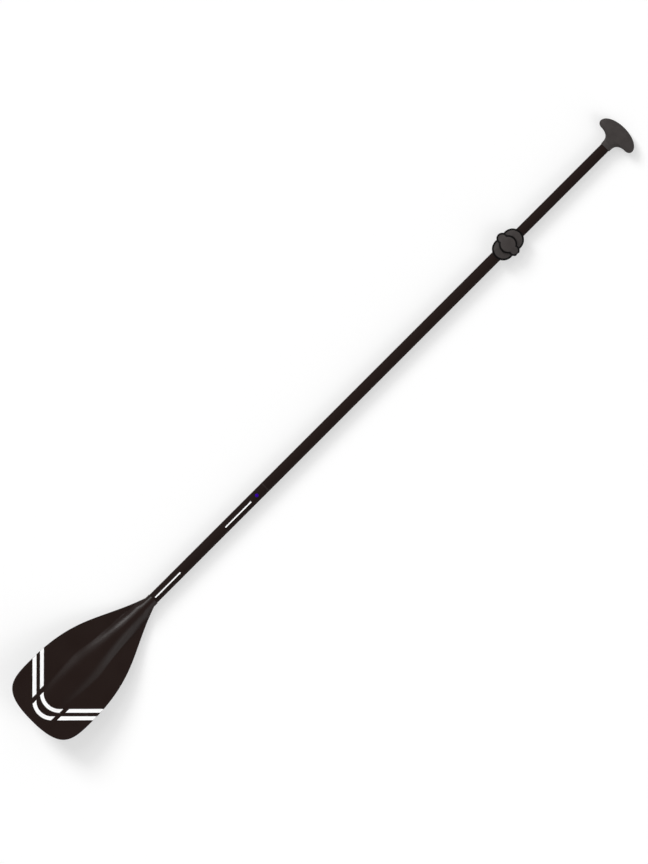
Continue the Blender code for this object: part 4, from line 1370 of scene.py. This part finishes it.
def gripRing(station, halfWidth, halfDepth, squareness):
    points = []
    for step in range(gripSizes["sides"]):
        turn = 2 * pi * step / gripSizes["sides"]
        share = (abs(cos(turn)) ** squareness + abs(sin(turn)) ** squareness) ** (-1 / squareness)
        points.append((station, halfWidth * share * cos(turn), halfDepth * share * sin(turn)))
    return points


def makeGrip():
    sizes = gripSizes
    spigot = upperBore - gap
    rings = [gripRing(station, spigot, spigot, 2) for station in (-sizes["spigot"], 0)]
    widest = sizes["length"] - sizes["crown"]
    for station, halfWidth in gripOutline()[:-1]:
        palm = smoothStep(sizes["stem"] / 2, widest, station)
        stemDepth = min(halfWidth, sizes["halfDepth"])
        depth = stemDepth + (sizes["halfDepth"] - stemDepth) * palm
        if station > widest:
            depth = sizes["halfDepth"] * sqrt(1 - ((station - widest) / sizes["crown"]) ** 2)
        rings.append(gripRing(station, halfWidth, depth, 2 + (sizes["squareness"] - 2) * palm))
    rings.append([(sizes["length"], 0, 0)])
    grip = pieceFrom("palm_grip", loft(rings), (gripX, 0, axisHeight))
    dressed(grip, gripGrey, "grip_plastic", "t_grip", sharp=60)


bladeShell = makeBlade()
print("blade made")
lowerShaft = makeTubes()
makeJoint()
makeButton()
makeButtonSpring()
makeFoamPlugs()
makeGuideBush()
print("shaft made")
makeChevrons(bladeShell)
makeTubeLines(lowerShaft)
print("marks laid")
makeCollar()
makeLever()
makeFasteners()
makeScrews()
makeMouthBush()
print("clamp made")
makeGrip()
print("grip made")

# The cam pad keeps its CAD mesh
camPad = frame["nodes"]["cam_pad"]
camPad.data.materials.clear()
camPad.data.materials.append(brushedSteel)


# Studio: pale floor, soft light and the photograph's view from straight above

studio = {
    "floorHalf": 6.0,
    "floorColour": (0.56, 0.56, 0.56, 1),
    "floorFill": 0.45,           # brings the floor up to white where it is seen, and lights nothing else
    "floorGrain": 8,
    "floorRough": (0.8, 0.95),
    "worldLight": 0.33,
    "lamps": {                   # power, lean across the shaft and along it, and softness
        "key": (1.95, radians(56), radians(8), radians(22)),
        "upperKey": (0.46, radians(35), radians(4), radians(24)),
        "fill": (1.00, radians(-66), radians(18), radians(44)),
        "upperFill": (0.34, radians(-42), radians(18), radians(30)),
    },
    "viewCentre": (-0.0216, -0.0066),
    "viewTurn": radians(-44.978),
    "viewLong": 2.1669,          # what the picture's long side takes in
    "lens": 600,
    "sensor": 36,
    "clipEnd": 200,
}


def seenRays(tree):
    # 1 for rays from the camera and for those seen in gloss or through glass.
    path = addNode(tree, "ShaderNodeLightPath").outputs
    first = addNode(tree, "ShaderNodeMath", {"operation": "MAXIMUM"},
                    {0: path["Is Camera Ray"], 1: path["Is Glossy Ray"]}).outputs[0]
    return addNode(tree, "ShaderNodeMath", {"operation": "MAXIMUM"},
                   {0: first, 1: path["Is Transmission Ray"]}).outputs[0]


def makeFloor():
    half = studio["floorHalf"]
    shape = bmesh.new()
    corners = [(-half, -half), (half, -half), (half, half), (-half, half)]
    shape.faces.new([shape.verts.new((x, y, 0)) for x, y in corners])
    floor = pieceFrom("floor", shape)
    if floor.data.polygons[0].normal.z < 0:
        floor.data.flip_normals()
    material, tree, shader, where = startFinish(
        "paleFloor", Specular_IOR_Level=0, Base_Color=studio["floorColour"])
    grain = noise(tree, where, studio["floorGrain"])
    tree.links.new(ramp(tree, grain, *studio["floorRough"]), shader.inputs["Roughness"])
    glow = addNode(tree, "ShaderNodeEmission", inputs={"Color": (1, 1, 1, 1)})
    power = addNode(tree, "ShaderNodeMath", {"operation": "MULTIPLY"},
                    {0: seenRays(tree), 1: studio["floorFill"]})
    tree.links.new(power.outputs[0], glow.inputs["Strength"])
    both = addNode(tree, "ShaderNodeAddShader")
    tree.links.new(shader.outputs[0], both.inputs[0])
    tree.links.new(glow.outputs[0], both.inputs[1])
    tree.links.new(both.outputs[0], tree.nodes["Material Output"].inputs["Surface"])
    floor.data.materials.append(material)


def makeSun(name, power, across, along, angle):
    # A broad soft lamp that stands towards +Y and +X by these leans.
    light = bpy.data.lights.new(name, "SUN")
    light.energy = power
    light.angle = angle
    lamp = bpy.data.objects.new(name, light)
    lamp.rotation_euler = (-across, along, 0)
    bpy.context.scene.collection.objects.link(lamp)


def makeWorld():
    world = bpy.data.worlds.new("paleStudio")
    world.use_nodes = True
    tree = world.node_tree
    strength = ramp(tree, seenRays(tree), studio["worldLight"], 1, 0, 1)
    tree.links.new(strength, tree.nodes["Background"].inputs["Strength"])
    tree.nodes["Background"].inputs["Color"].default_value = (1, 1, 1, 1)
    bpy.context.scene.world = world


def makeCamera():
    lens = bpy.data.cameras.new("camera")
    lens.lens = studio["lens"]
    lens.sensor_width = studio["sensor"]
    lens.clip_end = studio["clipEnd"]
    camera = bpy.data.objects.new("camera", lens)
    camera.location = (*studio["viewCentre"], studio["viewLong"] * studio["lens"] / studio["sensor"])
    camera.rotation_euler = (0, 0, studio["viewTurn"])
    bpy.context.scene.collection.objects.link(camera)
    bpy.context.scene.camera = camera


makeFloor()
for lampName, lampSettings in studio["lamps"].items():
    makeSun(lampName, *lampSettings)
makeWorld()
makeCamera()
bpy.context.scene.view_settings.view_transform = "Standard"
print("studio set")
